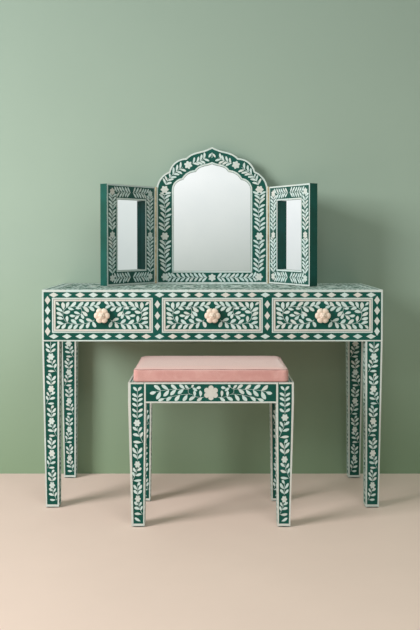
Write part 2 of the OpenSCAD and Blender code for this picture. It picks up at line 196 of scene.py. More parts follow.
def make_wood(name, pale, dark, along, rough=0.55):
    """Bare timber: rings stretched along the board, with pores."""
    m = Nodes(name)
    s = [34.0, 34.0, 34.0]
    s["XYZ".index(along)] = 2.2
    grain = m.noise(1.0, 5.0, 0.62, m.scaled(*s), 1.4)
    fine = [c * 9.0 for c in s]
    pore = m.noise(1.0, 2.0, 0.7, m.scaled(*fine))
    colour = m.mix(m.ramp(grain, 0.32, 0.68), pale, dark)
    colour = m.mix(m.ramp(pore, 0.56, 0.74, 0.0, 0.5), colour, tuple(c * 0.5 for c in dark[:3]) + (1.0,))
    m.bump(pore, 0.25, 0.0005)
    return m.done(Base_Color=colour, Roughness=m.ramp(grain, 0.3, 0.7, rough - 0.05, rough + 0.1))


def make_metal(name, colour, dull, rough):
    m = Nodes(name)
    age = m.ramp(m.noise(70.0, 5.0, 0.65), 0.42, 0.70)
    brush = m.noise(60.0, 2.0, 0.5, m.scaled(3.0, 3.0, 30.0))
    m.bump(m.noise(500.0, 2.0), 0.08, 0.0003)
    m.p.inputs["Metallic"].default_value = 1.0
    return m.done(Base_Color=m.mix(age, colour, dull), Roughness=m.ramp(brush, 0.3, 0.7, rough - 0.06, rough + 0.12))


def make_mirror(name):
    """Silvered glass, with a trace of haze."""
    m = Nodes(name)
    m.p.inputs["Metallic"].default_value = 1.0
    haze = m.noise(9.0, 3.0, 0.5)
    return m.done(Base_Color=m.mix(m.ramp(haze, 0.3, 0.7), (0.86, 0.885, 0.88, 1), (0.89, 0.91, 0.90, 1)),
                  Roughness=m.ramp(haze, 0.3, 0.7, 0.012, 0.028))


def make_rubber(name):
    m = Nodes(name)
    m.bump(m.noise(900.0, 2.0, 0.7), 0.4, 0.0004)
    c = m.mix(m.noise(200.0, 3.0), lin(26, 22, 20), lin(44, 38, 34))
    return m.done(Base_Color=c, Roughness=m.ramp(m.noise(300.0), 0.3, 0.7, 0.75, 0.92))


def make_velvet(name, base, shade, light):
    """Short-pile velvet: the nap lies in soft patches, with single threads in the bump, and faces that look up get a
    painted sheen.
    """
    m = Nodes(name)
    nap = m.noise(9.0, 3.0, 0.55, None, 0.8)
    colour = m.mix(m.ramp(nap, 0.34, 0.66), shade, base)
    strokes = m.noise(38.0, 3.0, 0.6, m.scaled(1.0, 3.2, 1.0), 0.6)
    colour = m.mix(m.ramp(strokes, 0.48, 0.78, 0.0, 0.40), colour, light)
    # painted sheen: faces that look upward are painted paler, standing in for the light on the cushion's top
    geo_ = m.t.nodes.new("ShaderNodeNewGeometry")
    normal_for_painted_sheen = m.t.nodes.new("ShaderNodeSeparateXYZ")
    m.link(geo_.outputs["Normal"], normal_for_painted_sheen.inputs[0])
    colour = m.mix(m.ramp(normal_for_painted_sheen.outputs[2], 0.45, 0.95, 0.0, 0.85), colour, lin(245, 208, 203))
    pile = m.noise(1500.0, 2.0, 0.75)
    colour = m.mix(m.ramp(pile, 0.30, 0.60, 0.30, 0.0), colour, tuple(c * 0.62 for c in shade[:3]) + (1.0,))
    m.bump(pile, 0.35, 0.0006)
    m.p.inputs["Sheen Weight"].default_value = 0.55
    m.p.inputs["Sheen Roughness"].default_value = 0.38
    m.p.inputs["Sheen Tint"].default_value = (1.0, 0.86, 0.83, 1.0)
    m.p.inputs["Specular IOR Level"].default_value = 0.15
    return m.done(Base_Color=colour, Roughness=m.ramp(nap, 0.3, 0.7, 0.82, 0.93))


RESIN = make_resin("green_resin", lin(8, 82, 72), lin(4, 69, 57), lin(68, 123, 107))
BONE = make_bone("bone", lin(208, 223, 221), lin(191, 213, 211), lin(213, 198, 188))
KNOB_BONE = make_bone("carved_bone", lin(238, 221, 206), lin(231, 213, 197), lin(214, 186, 165), 0.44)
WOOD_X = make_wood("bare_timber_x", lin(186, 144, 98), lin(140, 98, 60), "X")
WOOD_Y = make_wood("bare_timber_y", lin(186, 144, 98), lin(140, 98, 60), "Y")
WOOD_Z = make_wood("bare_timber_z", lin(176, 136, 94), lin(128, 92, 58), "Z")
BRASS = make_metal("antique_brass", lin(176, 162, 132), lin(126, 114, 88), 0.36)
STEEL = make_metal("steel", lin(176, 178, 182), lin(120, 120, 122), 0.34)
SILVER = make_mirror("mirror_silver")
RUBBER = make_rubber("glide_rubber")
VELVET = make_velvet("pink_velvet", lin(213, 163, 158), lin(201, 148, 143), lin(224, 184, 179))
# painted shade: the piping's velvet is darker than the cushion's, standing in for the shade along the seam
VELVET_WELT_PAINTED_SHADE = make_velvet("pink_velvet_welt_painted_shade", lin(150, 98, 94), lin(138, 88, 84), lin(164, 112, 106))

SLOT_MATERIAL = {"green_resin": RESIN, "bone": BONE, "antique_brass": BRASS, "steel": STEEL,
                 "mirror_silver": SILVER, "glide_rubber": RUBBER, "pink_velvet": VELVET}
BY_NODE = {p["node"]: p.get("material_slot") for p in frame["record"]["subparts"]}
for name, obj in NODES.items():
    slot = BY_NODE.get(name)
    if slot == "bare_timber":
        if name in ("mirror_backboard", "left_wing_backboard", "right_wing_backboard"):
            mat = WOOD_Z
        elif name.endswith("_bottom") or name in ("stool_seat_board", "stool_corner_blocks"):
            mat = WOOD_X
        else:
            mat = WOOD_Y
    else:
        mat = SLOT_MATERIAL[slot]
    if not obj.data.materials:
        obj.data.materials.append(mat)
    for s in obj.material_slots:
        s.material = mat


# ---------------------------------------------------------------------------
# inlay: pieces of bone cut as closed prisms and set in a flat face
# ---------------------------------------------------------------------------
BASE, SIDE, TOP, LOW = -0.30, 0.07, 0.17, 0.06     # millimetres from the face


class Piece:
    """One mesh of many small closed solids, in the shared frame."""

    def __init__(self, name, body, mat=None, slot="bone"):
        self.name, self.body, self.mat, self.slot = name, body, mat or BONE, slot
        self.v, self.f, self.tone, self.hue = [], [], [], []

    def add(self, verts, faces, tone, hue):
        k = len(self.v)
        self.v.extend(verts)
        self.f.extend([tuple(i + k for i in f) for f in faces])
        self.tone.extend([tone] * len(verts))
        self.hue.extend([hue] * len(verts))

    def build(self, smooth=False):
        mesh = bpy.data.meshes.new(self.name)
        mesh.from_pydata(self.v, [], self.f)
        for key, values in (("tone", self.tone), ("hue", self.hue)):
            a = mesh.attributes.new(key, "FLOAT", "POINT")
            a.data.foreach_set("value", np.array(values, np.float32))
        mesh.materials.append(self.mat)
        if smooth:
            mesh.polygons.foreach_set("use_smooth", [True] * len(mesh.polygons))
        mesh.update()
        obj = bpy.data.objects.new(self.name, mesh)
        bpy.context.scene.collection.objects.link(obj)
        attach(obj, self.body)
        return obj


class Face:
    """A flat face of the object. x runs along u and y along v, in millimetres from the origin; h is the height above it."""

    def __init__(self, piece, origin, u, v, seed, warp=None):
        self.piece = piece
        self.o, self.u, self.v = Vector(origin), Vector(u).normalized(), Vector(v).normalized()
        self.n = self.u.cross(self.v)
        self.rnd = random.Random(seed)
        self.warp = warp
        self.laid = []

    def put(self, pts, faces, tone=None, hue=0.0):
        tone = self.rnd.random() if tone is None else tone
        out = []
        for x, y, h in pts:
            if self.warp:
                x, y = self.warp(x, y)
            out.append(self.o + (self.u * x + self.v * y + self.n * h) * MM)
        self.piece.add(out, faces, tone, hue)

    # -- shapes -----------------------------------------------------------
    def plate(self, pts, tone=None, hue=0.0, top=TOP, inset=0.16):
        """A flat plate of any outline, counter-clockwise, its top edge eased."""
        n = len(pts)
        area = sum(pts[i][0] * pts[(i + 1) % n][1] - pts[(i + 1) % n][0] * pts[i][1] for i in range(n))
        if area < 0:
            pts = pts[::-1]
        inner = []
        for i in range(n):
            a, b, c = pts[i - 1], pts[i], pts[(i + 1) % n]
            d1 = (b[0] - a[0], b[1] - a[1]); d2 = (c[0] - b[0], c[1] - b[1])
            l1 = math.hypot(*d1) or 1e-9; l2 = math.hypot(*d2) or 1e-9
            n1 = (-d1[1] / l1, d1[0] / l1); n2 = (-d2[1] / l2, d2[0] / l2)
            bx, by = n1[0] + n2[0], n1[1] + n2[1]
            q = bx * bx + by * by
            k = min(2.0 * inset / q, inset * 2.2 / math.sqrt(q)) if q > 1e-6 else 0.0
            inner.append((b[0] + bx * k, b[1] + by * k))
        verts = [(x, y, BASE) for x, y in pts] + [(x, y, top - 0.10) for x, y in pts] + [(x, y, top) for x, y in inner]
        faces = [tuple(range(n - 1, -1, -1)), tuple(range(2 * n, 3 * n))]
        for r in (0, n):
            faces += [(r + i, r + (i + 1) % n, r + n + (i + 1) % n, r + n + i) for i in range(n)]
        self.put(verts, faces, tone, hue)

    def diamond(self, x, y, hw, hh, hue=None):
        j = self.rnd.uniform
        if hue is None:
            hue = self.rnd.choice([0.0, 0.05, 0.1, 0.25, 0.45, 0.6])
        self.plate([(x - hw + j(-.4, .4), y), (x, y - hh), (x + hw + j(-.4, .4), y), (x, y + hh)], hue=hue)

    def bar(self, p, q, w, cut_p=0.0, cut_q=0.0, every=86.0, hue=0.12):
        """A straight strip from p to q, laid in lengths with hairline joints. cut 1 is a mitre whose left side is long."""
        dx, dy = q[0] - p[0], q[1] - p[1]
        length = math.hypot(dx, dy)
        ux, uy = dx / length, dy / length
        px, py = -uy, ux
        count = max(1, round(length / every))
        stops = [0.0]
        for i in range(1, count):
            stops.append(length * i / count + self.rnd.uniform(-0.12, 0.12) * length / count)
        stops.append(length)
        for i in range(count):
            a, b = stops[i] + (0.12 if i else 0.0), stops[i + 1] - (0.12 if i < count - 1 else 0.0)
            ca, cb = (cut_p if i == 0 else 0.0), (cut_q if i == count - 1 else 0.0)
            h = w / 2
            pts = [(a + ca * h, -h), (b - cb * h, -h), (b + cb * h, h), (a - ca * h, h)]
            self.plate([(p[0] + ux * s + px * t, p[1] + uy * s + py * t) for s, t in pts],
                       hue=max(0.0, hue + self.rnd.uniform(-0.10, 0.14)))

    def border(self, x0, y0, x1, y1, w, hue=0.12, every=86.0):
        """A frame of strips just inside a rectangle, mitred at the corners."""
        h = w / 2
        self.bar((x0 + h, y0 + h), (x1 - h, y0 + h), w, -1, -1, every, hue)
        self.bar((x1 - h, y0 + h), (x1 - h, y1 - h), w, -1, -1, every, hue)
        self.bar((x1 - h, y1 - h), (x0 + h, y1 - h), w, -1, -1, every, hue)
        self.bar((x0 + h, y1 - h), (x0 + h, y0 + h), w, -1, -1, every, hue)

    def band(self, outer, inner, per=4, hue=0.12):
        """A curved strip between two matching lines of points, in lengths."""
        n = len(outer)
        i = 0
        while i < n - 1:
            j = min(n - 1, i + per)
            self.plate(list(outer[i:j + 1]) + list(inner[i:j + 1])[::-1],
                       hue=max(0.0, hue + self.rnd.uniform(-0.10, 0.14)), inset=0.14)
            i = j

    def stem(self, pts, w=1.25, fine=2.4):
        """A thin line of bone along a smooth curve. It lies lower than the leaves on it."""
        line = smooth(pts, fine)
        n = len(line)
        left, right = [], []
        for i, (x, y) in enumerate(line):
            a, b = line[max(0, i - 1)], line[min(n - 1, i + 1)]
            dx, dy = b[0] - a[0], b[1] - a[1]
            l = math.hypot(dx, dy) or 1e-9
            k = w / 2 * (0.6 if i in (0, n - 1) else 1.0)
            left.append((x - dy / l * k, y + dx / l * k))
            right.append((x + dy / l * k, y - dx / l * k))
            self.laid.append((x, y, w * 0.5))
        ring = right + left[::-1]
        verts = [(x, y, BASE) for x, y in ring] + [(x, y, LOW) for x, y in ring]
        m = len(ring)
        faces = [(i, (i + 1) % m, m + (i + 1) % m, m + i) for i in range(m)]
        faces += [(m + i, m + i + 1, 2 * m - 2 - i, 2 * m - 1 - i) for i in range(n - 1)]
        faces += [(m - 1 - i, m - 2 - i, i + 1, i) for i in range(n - 1)]
        self.put(verts, faces, None, 0.10)

    def leaf(self, bx, by, tx, ty, w=9.0, bend=None, hue=None, tone=None):
        """A drop-shaped leaf from its base at the stem to its tip, with a cut midrib."""
        r = self.rnd
        dx, dy = tx - bx, ty - by
        length = math.hypot(dx, dy)
        ux, uy = dx / length, dy / length
        px, py = -uy, ux
        if bend is None:
            bend = r.uniform(-0.07, 0.07)
        if hue is None:
            hue = r.choice([0.0, 0.0, 0.0, 0.05, 0.10, 0.30])
        w *= r.uniform(0.94, 1.06)
        rows = []
        for t, k in LEAF:
            rows.append((t * length, math.sin(math.pi * t) * bend * length, k * w / 2))
        ring, mid = [], []
        for s, b, h in rows:
            mid.append((s, b))
        right = [(s, b - h) for s, b, h in rows]
        left = [(s, b + h) for s, b, h in rows[1:-1]][::-1]
        ring = right + left
        n = len(ring)

        def world(s, t):
            return bx + ux * s + px * t, by + uy * s + py * t
        verts = [(*world(s, t), BASE) for s, t in ring] + [(*world(s, t), SIDE) for s, t in ring]
        cs, cb = length * 0.55, math.sin(math.pi * 0.55) * bend * length
        inner = []
        for s, t in ring:
            q = math.hypot(s - cs, t - cb) or 1e-9
            k = max(0.0, 1.0 - 0.30 / q)
            inner.append((cs + (s - cs) * k, cb + (t - cb) * k))
        verts += [(*world(s, t), TOP) for s, t in inner]
        ribs = mid[1:-1]
        verts += [(*world(s, t), TOP - 0.06) for s, t in ribs]
        m = len(ribs)
        faces = [tuple(range(n - 1, -1, -1))]
        for q in (0, n):
            faces += [(q + i, q + (i + 1) % n, q + n + (i + 1) % n, q + n + i) for i in range(n)]
        T, R = 2 * n, 3 * n
        last = len(rows) - 1
        faces.append((T, T + 1, R))
        for i in range(1, last - 1):
            faces.append((T + i, T + i + 1, R + i, R + i - 1))
        faces.append((T + last - 1, T + last, R + m - 1))
        for i in range(m - 1):
            faces.append((T + n - 1 - i, R + i, R + i + 1, T + n - 2 - i))
        faces.append((T, R, T + n - 1))
        faces.append((T + last, T + last + 1, R + m - 1))
        self.put(verts, faces, tone, hue)
        for t, k in ((0.35, 0.34), (0.6, 0.46), (0.85, 0.30)):
            s, b = t * length, math.sin(math.pi * t) * bend * length
            self.laid.append((*world(s, b), k * w))

    def flower(self, x, y, r, turn=0.0, petals=6, pointed=True, hue=None, centre=0.62, heart=0.2):
        """A flower cut from one piece, its petals parted by carved grooves, round a small boss."""
        if hue is None:
            hue = self.rnd.choice([0.05, 0.12, 0.22, 0.32])
        shape = STAR if pointed else ROUND
        half = math.pi / petals
        k0 = math.tan(half) * shape[0][0] / shape[0][1]
        pts = []
        for i in range(petals):
            a = turn + i * 2 * half
            side = [(t, -w * (k0 if j == 0 else 1.0)) for j, (t, w) in enumerate(shape)]
            back = [(t, w) for t, w in shape[1:-1]][::-1]
            for t, w in side + back:
                pts.append((t * math.cos(a) - w * math.sin(a), t * math.sin(a) + w * math.cos(a)))
        per = len(pts) // petals
        n = len(pts)
        lip = [(px * r, py * r) for px, py in pts]
        inner = []
        for i, (px, py) in enumerate(lip):
            q = math.hypot(px, py)
            inner.append((px * (1 - 0.28 / q), py * (1 - 0.28 / q)))
        verts = [(x + px, y + py, BASE) for px, py in lip] + [(x + px, y + py, SIDE) for px, py in lip]
        verts += [(x + px, y + py, TOP - (0.09 if i % per == 0 else 0.0)) for i, (px, py) in enumerate(inner)]
        for i, (px, py) in enumerate(inner):
            a = math.atan2(py, px)
            q = r * heart
            j = i % per
            drop = 0.12 if j == 0 else (0.05 if j in (1, per - 1) else 0.0)
            verts.append((x + q * math.cos(a), y + q * math.sin(a), TOP + 0.02 - drop))
        faces = [tuple(range(n - 1, -1, -1))]
        for q in (0, n, 2 * n):
            faces += [(q + i, q + (i + 1) % n, q + n + (i + 1) % n, q + n + i) for i in range(n)]
        faces.append(tuple(range(3 * n, 4 * n)))
        self.put(verts, faces, None, hue)
        # boss
        k = 12
        q = r * heart * 0.98
        verts, faces = [], []
        for s, h in ((1.0, -0.1), (1.0, TOP + 0.05), (0.7, TOP + 0.22)):
            verts += [(x + q * s * math.cos(2 * math.pi * i / k), y + q * s * math.sin(2 * math.pi * i / k), h) for i in range(k)]
        faces.append(tuple(range(k - 1, -1, -1)))
        for s in (0, k):
            faces += [(s + i, s + (i + 1) % k, s + k + (i + 1) % k, s + k + i) for i in range(k)]
        faces.append(tuple(range(2 * k, 3 * k)))
        self.put(verts, faces, None, centre)
        self.laid.append((x, y, r * 0.92))

    # -- what is free ----------------------------------------------------
    def free(self, bx, by, tx, ty, w, inside, gap=0.75, skip=3.8):
        """True if a leaf there stays inside and clear of what is laid, its own base apart."""
        dx, dy = tx - bx, ty - by
        for t, k in ((0.35, 0.34), (0.6, 0.46), (0.85, 0.30), (1.0, 0.05)):
            x, y, r = bx + dx * t, by + dy * t, k * w
            if not inside(x, y, r + gap * 0.6):
                return False
            for lx, ly, lr in self.laid:
                if abs(lx - x) < 22 and abs(ly - y) < 22:
                    if math.hypot(lx - bx, ly - by) < skip + lr:
                        continue
                    if math.hypot(lx - x, ly - y) < r + lr + gap:
                        return False
        return True

    def vine(self, pts, inside, pitch=16.0, length=19.0, w=8.4, angle=48.0, pair=True,
             start=6.0, end=6.0, stem_w=1.25, tip=True, least=0.55):
        """A stem with leaves on both sides that point along it, each cut back to the room it has."""
        line = smooth(pts, 1.0)
        self.stem(pts, stem_w)
        total = len(line) - 1
        s = start
        side = 1
        k = 0
        while s <= total - end:
            i = int(s)
            a, b = line[max(0, i - 2)], line[min(total, i + 2)]
            heading = math.atan2(b[1] - a[1], b[0] - a[0])
            for sd in ((1, -1) if pair else (side,)):
                size = length * self.rnd.uniform(0.92, 1.06)
                bx, by = line[i]
                done = False
                for shrink in (1.0, 0.92, 0.84, 0.76, 0.68, 0.6, 0.52):
                    if shrink < least:
                        break
                    for turn in (0, 8, -8, 16, -16):
                        ang = heading + sd * math.radians(angle + turn + self.rnd.uniform(-4, 4))
                        tx, ty = bx + math.cos(ang) * size * shrink, by + math.sin(ang) * size * shrink
                        if self.free(bx, by, tx, ty, w * (0.35 + 0.65 * shrink), inside):
                            self.leaf(bx, by, tx, ty, w * (0.35 + 0.65 * shrink), bend=-sd * self.rnd.uniform(0.02, 0.10))
                            done = True
                            break
                    if done:
                        break
            side = -side
            s += pitch * (1.0 if pair else 0.5) * self.rnd.uniform(0.95, 1.05)
            k += 1
        if tip:
            a, b = line[max(0, total - 3)], line[total]
            heading = math.atan2(b[1] - a[1], b[0] - a[0])
            for shrink in (1.0, 0.85, 0.7, 0.55):
                tx, ty = b[0] + math.cos(heading) * length * shrink, b[1] + math.sin(heading) * length * shrink
                if self.free(b[0], b[1], tx, ty, w * shrink, inside):
                    self.leaf(b[0], b[1], tx, ty, w * (0.4 + 0.6 * shrink), bend=0.0)
                    break


LEAF = [(0.0, 0.0), (0.10, 0.24), (0.25, 0.60), (0.42, 0.92), (0.60, 1.0), (0.77, 0.89), (0.91, 0.56), (1.0, 0.0)]
STAR = [(0.52, 0.30), (0.63, 0.325), (0.77, 0.275), (0.90, 0.155), (1.0, 0.0)]
ROUND = [(0.52, 0.295), (0.64, 0.345), (0.78, 0.335), (0.90, 0.235), (0.975, 0.115), (1.0, 0.0)]


def smooth(pts, step):
    """A Catmull-Rom curve through the points, cut at about the given step."""
    p = [Vector((a[0], a[1])) for a in pts]
    if len(p) == 2:
        n = max(1, round((p[1] - p[0]).length / step))
        return [tuple(p[0].lerp(p[1], i / n)) for i in range(n + 1)]
    p = [p[0] * 2 - p[1]] + p + [p[-1] * 2 - p[-2]]
    out = []
    for i in range(1, len(p) - 2):
        a, b, c, d = p[i - 1], p[i], p[i + 1], p[i + 2]
        n = max(1, round((c - b).length / step))
        for j in range(n):
            t = j / n
            out.append(tuple(0.5 * ((2 * b) + (c - a) * t + (2 * a - 5 * b + 4 * c - d) * t * t
                                    + (3 * b - a - 3 * c + d) * t ** 3)))
    out.append(tuple(p[-2]))
    return out


def flip(pts, s):
    return [(x * s, y) for x, y in pts]


# ---- the drawer panel: a vine that leaves the knob low down, runs to the end, climbs and comes back along the top
PANEL_STEMS = [
    [(28, -16), (34, -19.5), (44, -24.5), (60, -29), (80, -31.3), (105, -30), (121, -26.5), (130, -20.4), (136, -12.2),
     (139.5, -0.5), (138.3, 11.3), (133.6, 20.6), (126, 27.5), (113.7, 30.7), (92.6, 30.6), (71.5, 30), (52.8, 29.5),
     (36.3, 32.4), (23.4, 36.6), (17, 40.8)],
    [(119, -27.2), (135, -29.8), (149, -34.5)],
    [(78, 30), (74, 21), (72.3, 13), (75, 5), (82, -0.8), (94, -2)],
]
PANEL_LEAVES = [
    (34, -20.5, 23.4, -42.7, 10.5), (44.5, -25, 56.3, -46.2, 10), (64.5, -29.8, 82, -48.6, 9.5),
    (84.4, -31.4, 102, -48.6, 9.5), (105.5, -30, 120.8, -48, 9), (129, -28.8, 143, -47, 9),
    (148.5, -34.5, 162.5, -46.8, 7.5), (136, -29.8, 160.6, -22.7, 9), (137, -13.7, 161, -8.4, 9),
    (139.5, -2.8, 161.6, 10.7, 10), (138.5, 12.5, 163, 26.7, 9.5), (150.5, 35, 163.5, 46.8, 7),
    (137, 19.8, 139.5, 46.6, 10.5), (127, 26.8, 117.4, 47.2, 9.5), (114, 30.8, 92.6, 47.4, 9.5),
    (88.9, 30.5, 67.3, 47.4, 9.5), (66.7, 30, 46.9, 48, 9.5), (44.4, 30.6, 26, 47.4, 9),
    (23.4, 36.6, 6.4, 48, 8.5), (30.5, 33.9, 9.4, 25.2, 9), (49, 29.5, 28.1, 15.9, 9.5),
    (69.5, 30, 48, 12.4, 10), (75.6, 23.5, 94.8, 25.6, 7.5), (99.6, 20.0, 120.8, 26.0, 8.5),
    (138.5, 9, 113.7, 14.4, 9.5), (72.2, 14.4, 53.4, -2.4, 10), (78, 4, 100.8, 11.3, 8),
    (93.8, -2, 116, -0.2, 8.5), (74.5, 6.2, 66.4, -12.2, 8.5), (82, -1.8, 97.5, -14.2, 8.5),
    (122.8, -24.5, 124.8, -1.8, 9), (35, -19.9, 58.8, -12.4, 9), (62.7, -28.9, 82.4, -14.9, 9.5),
    (89.4, -31, 111.5, -15.9, 9.5),
]


def vine_panel(face, hw, hh, border, seed_flower=False, strip_hue=0.30):
    """A bordered panel with the two-sided vine. The pattern is drawn for a field of 165 x 50 and is scaled to fit."""
    face.border(-hw, -hh, hw, hh, border, hue=strip_hue)
    sx, sy = (hw - border) / 165.4, (hh - border) / 49.9
    r = face.rnd
    for s in (-1, 1):
        for line in PANEL_STEMS:
            face.stem([(x * sx * s, y * sy) for x, y in line])
        for bx, by, tx, ty, w in PANEL_LEAVES:
            jx, jy = r.uniform(-0.8, 0.8), r.uniform(-0.6, 0.6)
            face.leaf(bx * sx * s, by * sy, (tx + jx) * sx * s, (ty + jy) * sy, w * 1.18 * min(1.0, sy * 1.02))
    if seed_flower:
        face.flower(0, 0, 24 * min(1.0, sy), math.pi / 2, pointed=False)


# ---- the leg pattern: star flowers, with a stem that swings to one edge and starts afresh
LEG_LEAVES = [(2, 21, -15, 11, 1.0), (5.5, 26, 16.5, 11, 0.88), (9, 37, -15.5, 31, 1.0), (12, 41.5, 19.5, 25, 0.88)]
LEG_PAIRS = [(1, 85, 17, 68), (1, 99, 17, 86)]


def leg_motif(face, d, s, pitch, w=9.0, last=False, wide=None):
    """Flower at depth d, the swinging stem under it to side s, then two leaf pairs under the next bud."""
    k = pitch / 114.5
    face.flower(0, -d, 13.3 if wide is None else 12.6, 0.0)
    face.stem([(s * 1.0, -d - 12 * k), (s * 4, -d - 25 * k), (s * 12, -d - 40 * k), (s * 20.2, -d - 54 * k)])
    for bx, by, tx, ty, q in LEG_LEAVES:
        face.leaf(s * bx, -d - by * k, s * tx, -d - ty * k, w * q)
    if wide:
        face.leaf(s * 17, -d - 54 * k, -s * 15, -d - 52 * k, w * 0.92)
    else:
        face.leaf(s * 15, -d - 52 * k, -s * 11, -d - 51 * k, w * 0.88)
    if last:
        if wide:
            face.leaf(s * 12, -d - 78 * k, -s * 15, -d - 66 * k, w)
        return
    face.leaf(s * 1.5, -d - 69.5 * k, -s * 9.5, -d - 59.5 * k, w * 1.0)
    face.stem([(s * 1.5, -d - 67 * k), (0, -d - 76 * k), (0, -d - 103 * k)])
    pairs(face, d, k, w)


def pairs(face, d, k, w=9.0):
    for bx, by, tx, ty in LEG_PAIRS:
        for q in (-1, 1):
            face.leaf(q * bx, -d - by * k, q * tx, -d - ty * k, w)


def leg_faces(piece, corners_top, corners_foot, seed):
    """The four faces of a tapered leg, from its corners at the shoulder and at the floor, counter-clockwise from above.
    Yields (face, half width at the shoulder, half width at the floor, length)."""
    out = []
    for i in range(4):
        a, b = Vector(corners_top[i]), Vector(corners_top[(i + 1) % 4])
        c, d = Vector(corners_foot[i]), Vector(corners_foot[(i + 1) % 4])
        u = (b - a).normalized()
        top, foot = (a + b) / 2, (c + d) / 2
        down = foot - top
        shift = down.dot(u)
        v = (-(down - u * shift)).normalized()
        length = (down - u * shift).length / MM
        h0, h1 = (b - a).length / 2 / MM, (d - c).length / 2 / MM

        def warp(x, y, h0=h0, h1=h1, shift=shift / MM, length=length):
            t = max(0.0, -y / length)
            return x * (1 + (h1 / h0 - 1) * t) + shift * t, y
        out.append((Face(piece, top, u, v, seed + i, warp), h0, h1, length))
    return out


def box_mm(node):
    lo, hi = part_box(node)
    return [c / MM for c in lo], [c / MM for c in hi]


# ---------------------------------------------------------------------------
# the table
# ---------------------------------------------------------------------------
top_lo, top_hi = box_mm("table_top")
TX, FRONT, BACK = top_hi[0], top_lo[1], top_hi[1]          # half width, front and back planes
TOPZ, BOARDZ = top_hi[2], top_lo[2]
RAIL_LO, RAIL_HI = box_mm("front_rail")
CASEZ, OPENZ = RAIL_LO[2], RAIL_HI[2]
POST = TX - RAIL_HI[0]
LEG_LO, LEG_HI = box_mm("front_left_leg")
LEGW = LEG_HI[0] - LEG_LO[0]
DRAWERS = {n: box_mm(n + "_drawer_front") for n in ("left", "middle", "right")}


def case_side(face, hw, post, drawers=None):
    """Strips and diamonds of one side of the case. x from -hw to hw, y is height above the floor."""
    edge = 5.6
    face.bar((-hw, TOPZ - 4), (hw, TOPZ - 4), 8.0, hue=0.16)
    face.bar((hw, CASEZ + 2.4), (-hw, CASEZ + 2.4), 4.6, hue=0.16)
    for s in (-1, 1):
        face.bar((s * (hw - edge / 2), CASEZ + 4.8), (s * (hw - edge / 2), TOPZ - 8.1), edge, hue=0.16)
        for i in range(4):
            z = 628.5 + i * 36.6
            face.diamond(s * (hw - 19.6), z, 10.0, 15.6)
    inner = hw - 41
    n = max(2, round(2 * inner / 46.6))
    for i in range(n + 1):
        x = -inner + 2 * inner * i / n
        face.diamond(x, 757.0, 17.0, 9.0)
    for i in range(n + 1):
        x = -inner + 2 * inner * i / n
        face.diamond(x, 610.6, 17.0, 9.0)
    for x0, x1 in drawers or [(-hw + post, hw - post)]:
        face.border(x0 - 4.8, OPENZ - 4.8, x1 + 4.8, BOARDZ + 4.8, 4.6, hue=0.16)


# front
p = Piece("front_inlay", "table")
f = Face(p, (0, FRONT * MM, 0), (1, 0, 0), (0, 0, 1), 11)
opens = [(lo[0] - 1.0, hi[0] + 1.0) for lo, hi in DRAWERS.values()]
case_side(f, TX, POST, opens)
for s in (-1, 1):
    xm = s * (opens[1][1] + opens[2][0]) / 2
    for z, q in ((723.5, 0), (684, 1), (645.5, 2)):
        f.diamond(xm, z, 9.6, 14.6)
p.build()

# sides: the same bands round one vine panel
for side, s in (("left", -1), ("right", 1)):
    p = Piece(side + "_side_inlay", "table")
    depth = BACK - FRONT
    f = Face(p, (s * TX * MM, (FRONT + depth / 2) * MM, 0), (0, s, 0), (0, 0, 1), 20 + s)
    case_side(f, depth / 2, POST)
    g = Face(p, (s * TX * MM, (FRONT + depth / 2) * MM, (OPENZ + BOARDZ) / 2 * MM), (0, s, 0), (0, 0, 1), 24 + s)
    vine_panel(g, depth / 2 - POST - 1.0, (BOARDZ - OPENZ) / 2 - 1.0, 5.6, True, 0.2)
    p.build()

# back: bands and three vine panels
p = Piece("back_inlay", "table")
f = Face(p, (0, BACK * MM, 0), (-1, 0, 0), (0, 0, 1), 31)
case_side(f, TX, POST, opens)
for k, (x0, x1) in enumerate(opens):
    g = Face(p, (-(x0 + x1) / 2 * MM, BACK * MM, (OPENZ + BOARDZ) / 2 * MM), (-1, 0, 0), (0, 0, 1), 33 + k)
    vine_panel(g, (x1 - x0) / 2 - 1.0, (BOARDZ - OPENZ) / 2 - 1.0, 5.6, True, 0.2)
for s in (-1, 1):
    xm = s * (opens[1][1] + opens[2][0]) / 2
    for z in (723.5, 684, 645.5):
        f.diamond(xm, z, 9.6, 14.6)
p.build()

# drawers
for k, (name, (lo, hi)) in enumerate(DRAWERS.items()):
    p = Piece(name + "_drawer_inlay", name + "_drawer")
    cx, cz = (lo[0] + hi[0]) / 2, (lo[2] + hi[2]) / 2
    f = Face(p, (cx * MM, lo[1] * MM, cz * MM), (1, 0, 0), (0, 0, 1), 40 + k)
    vine_panel(f, (hi[0] - lo[0]) / 2 - 0.2, (hi[2] - lo[2]) / 2 - 0.2, 6.2, False, 0.62)
    p.build()

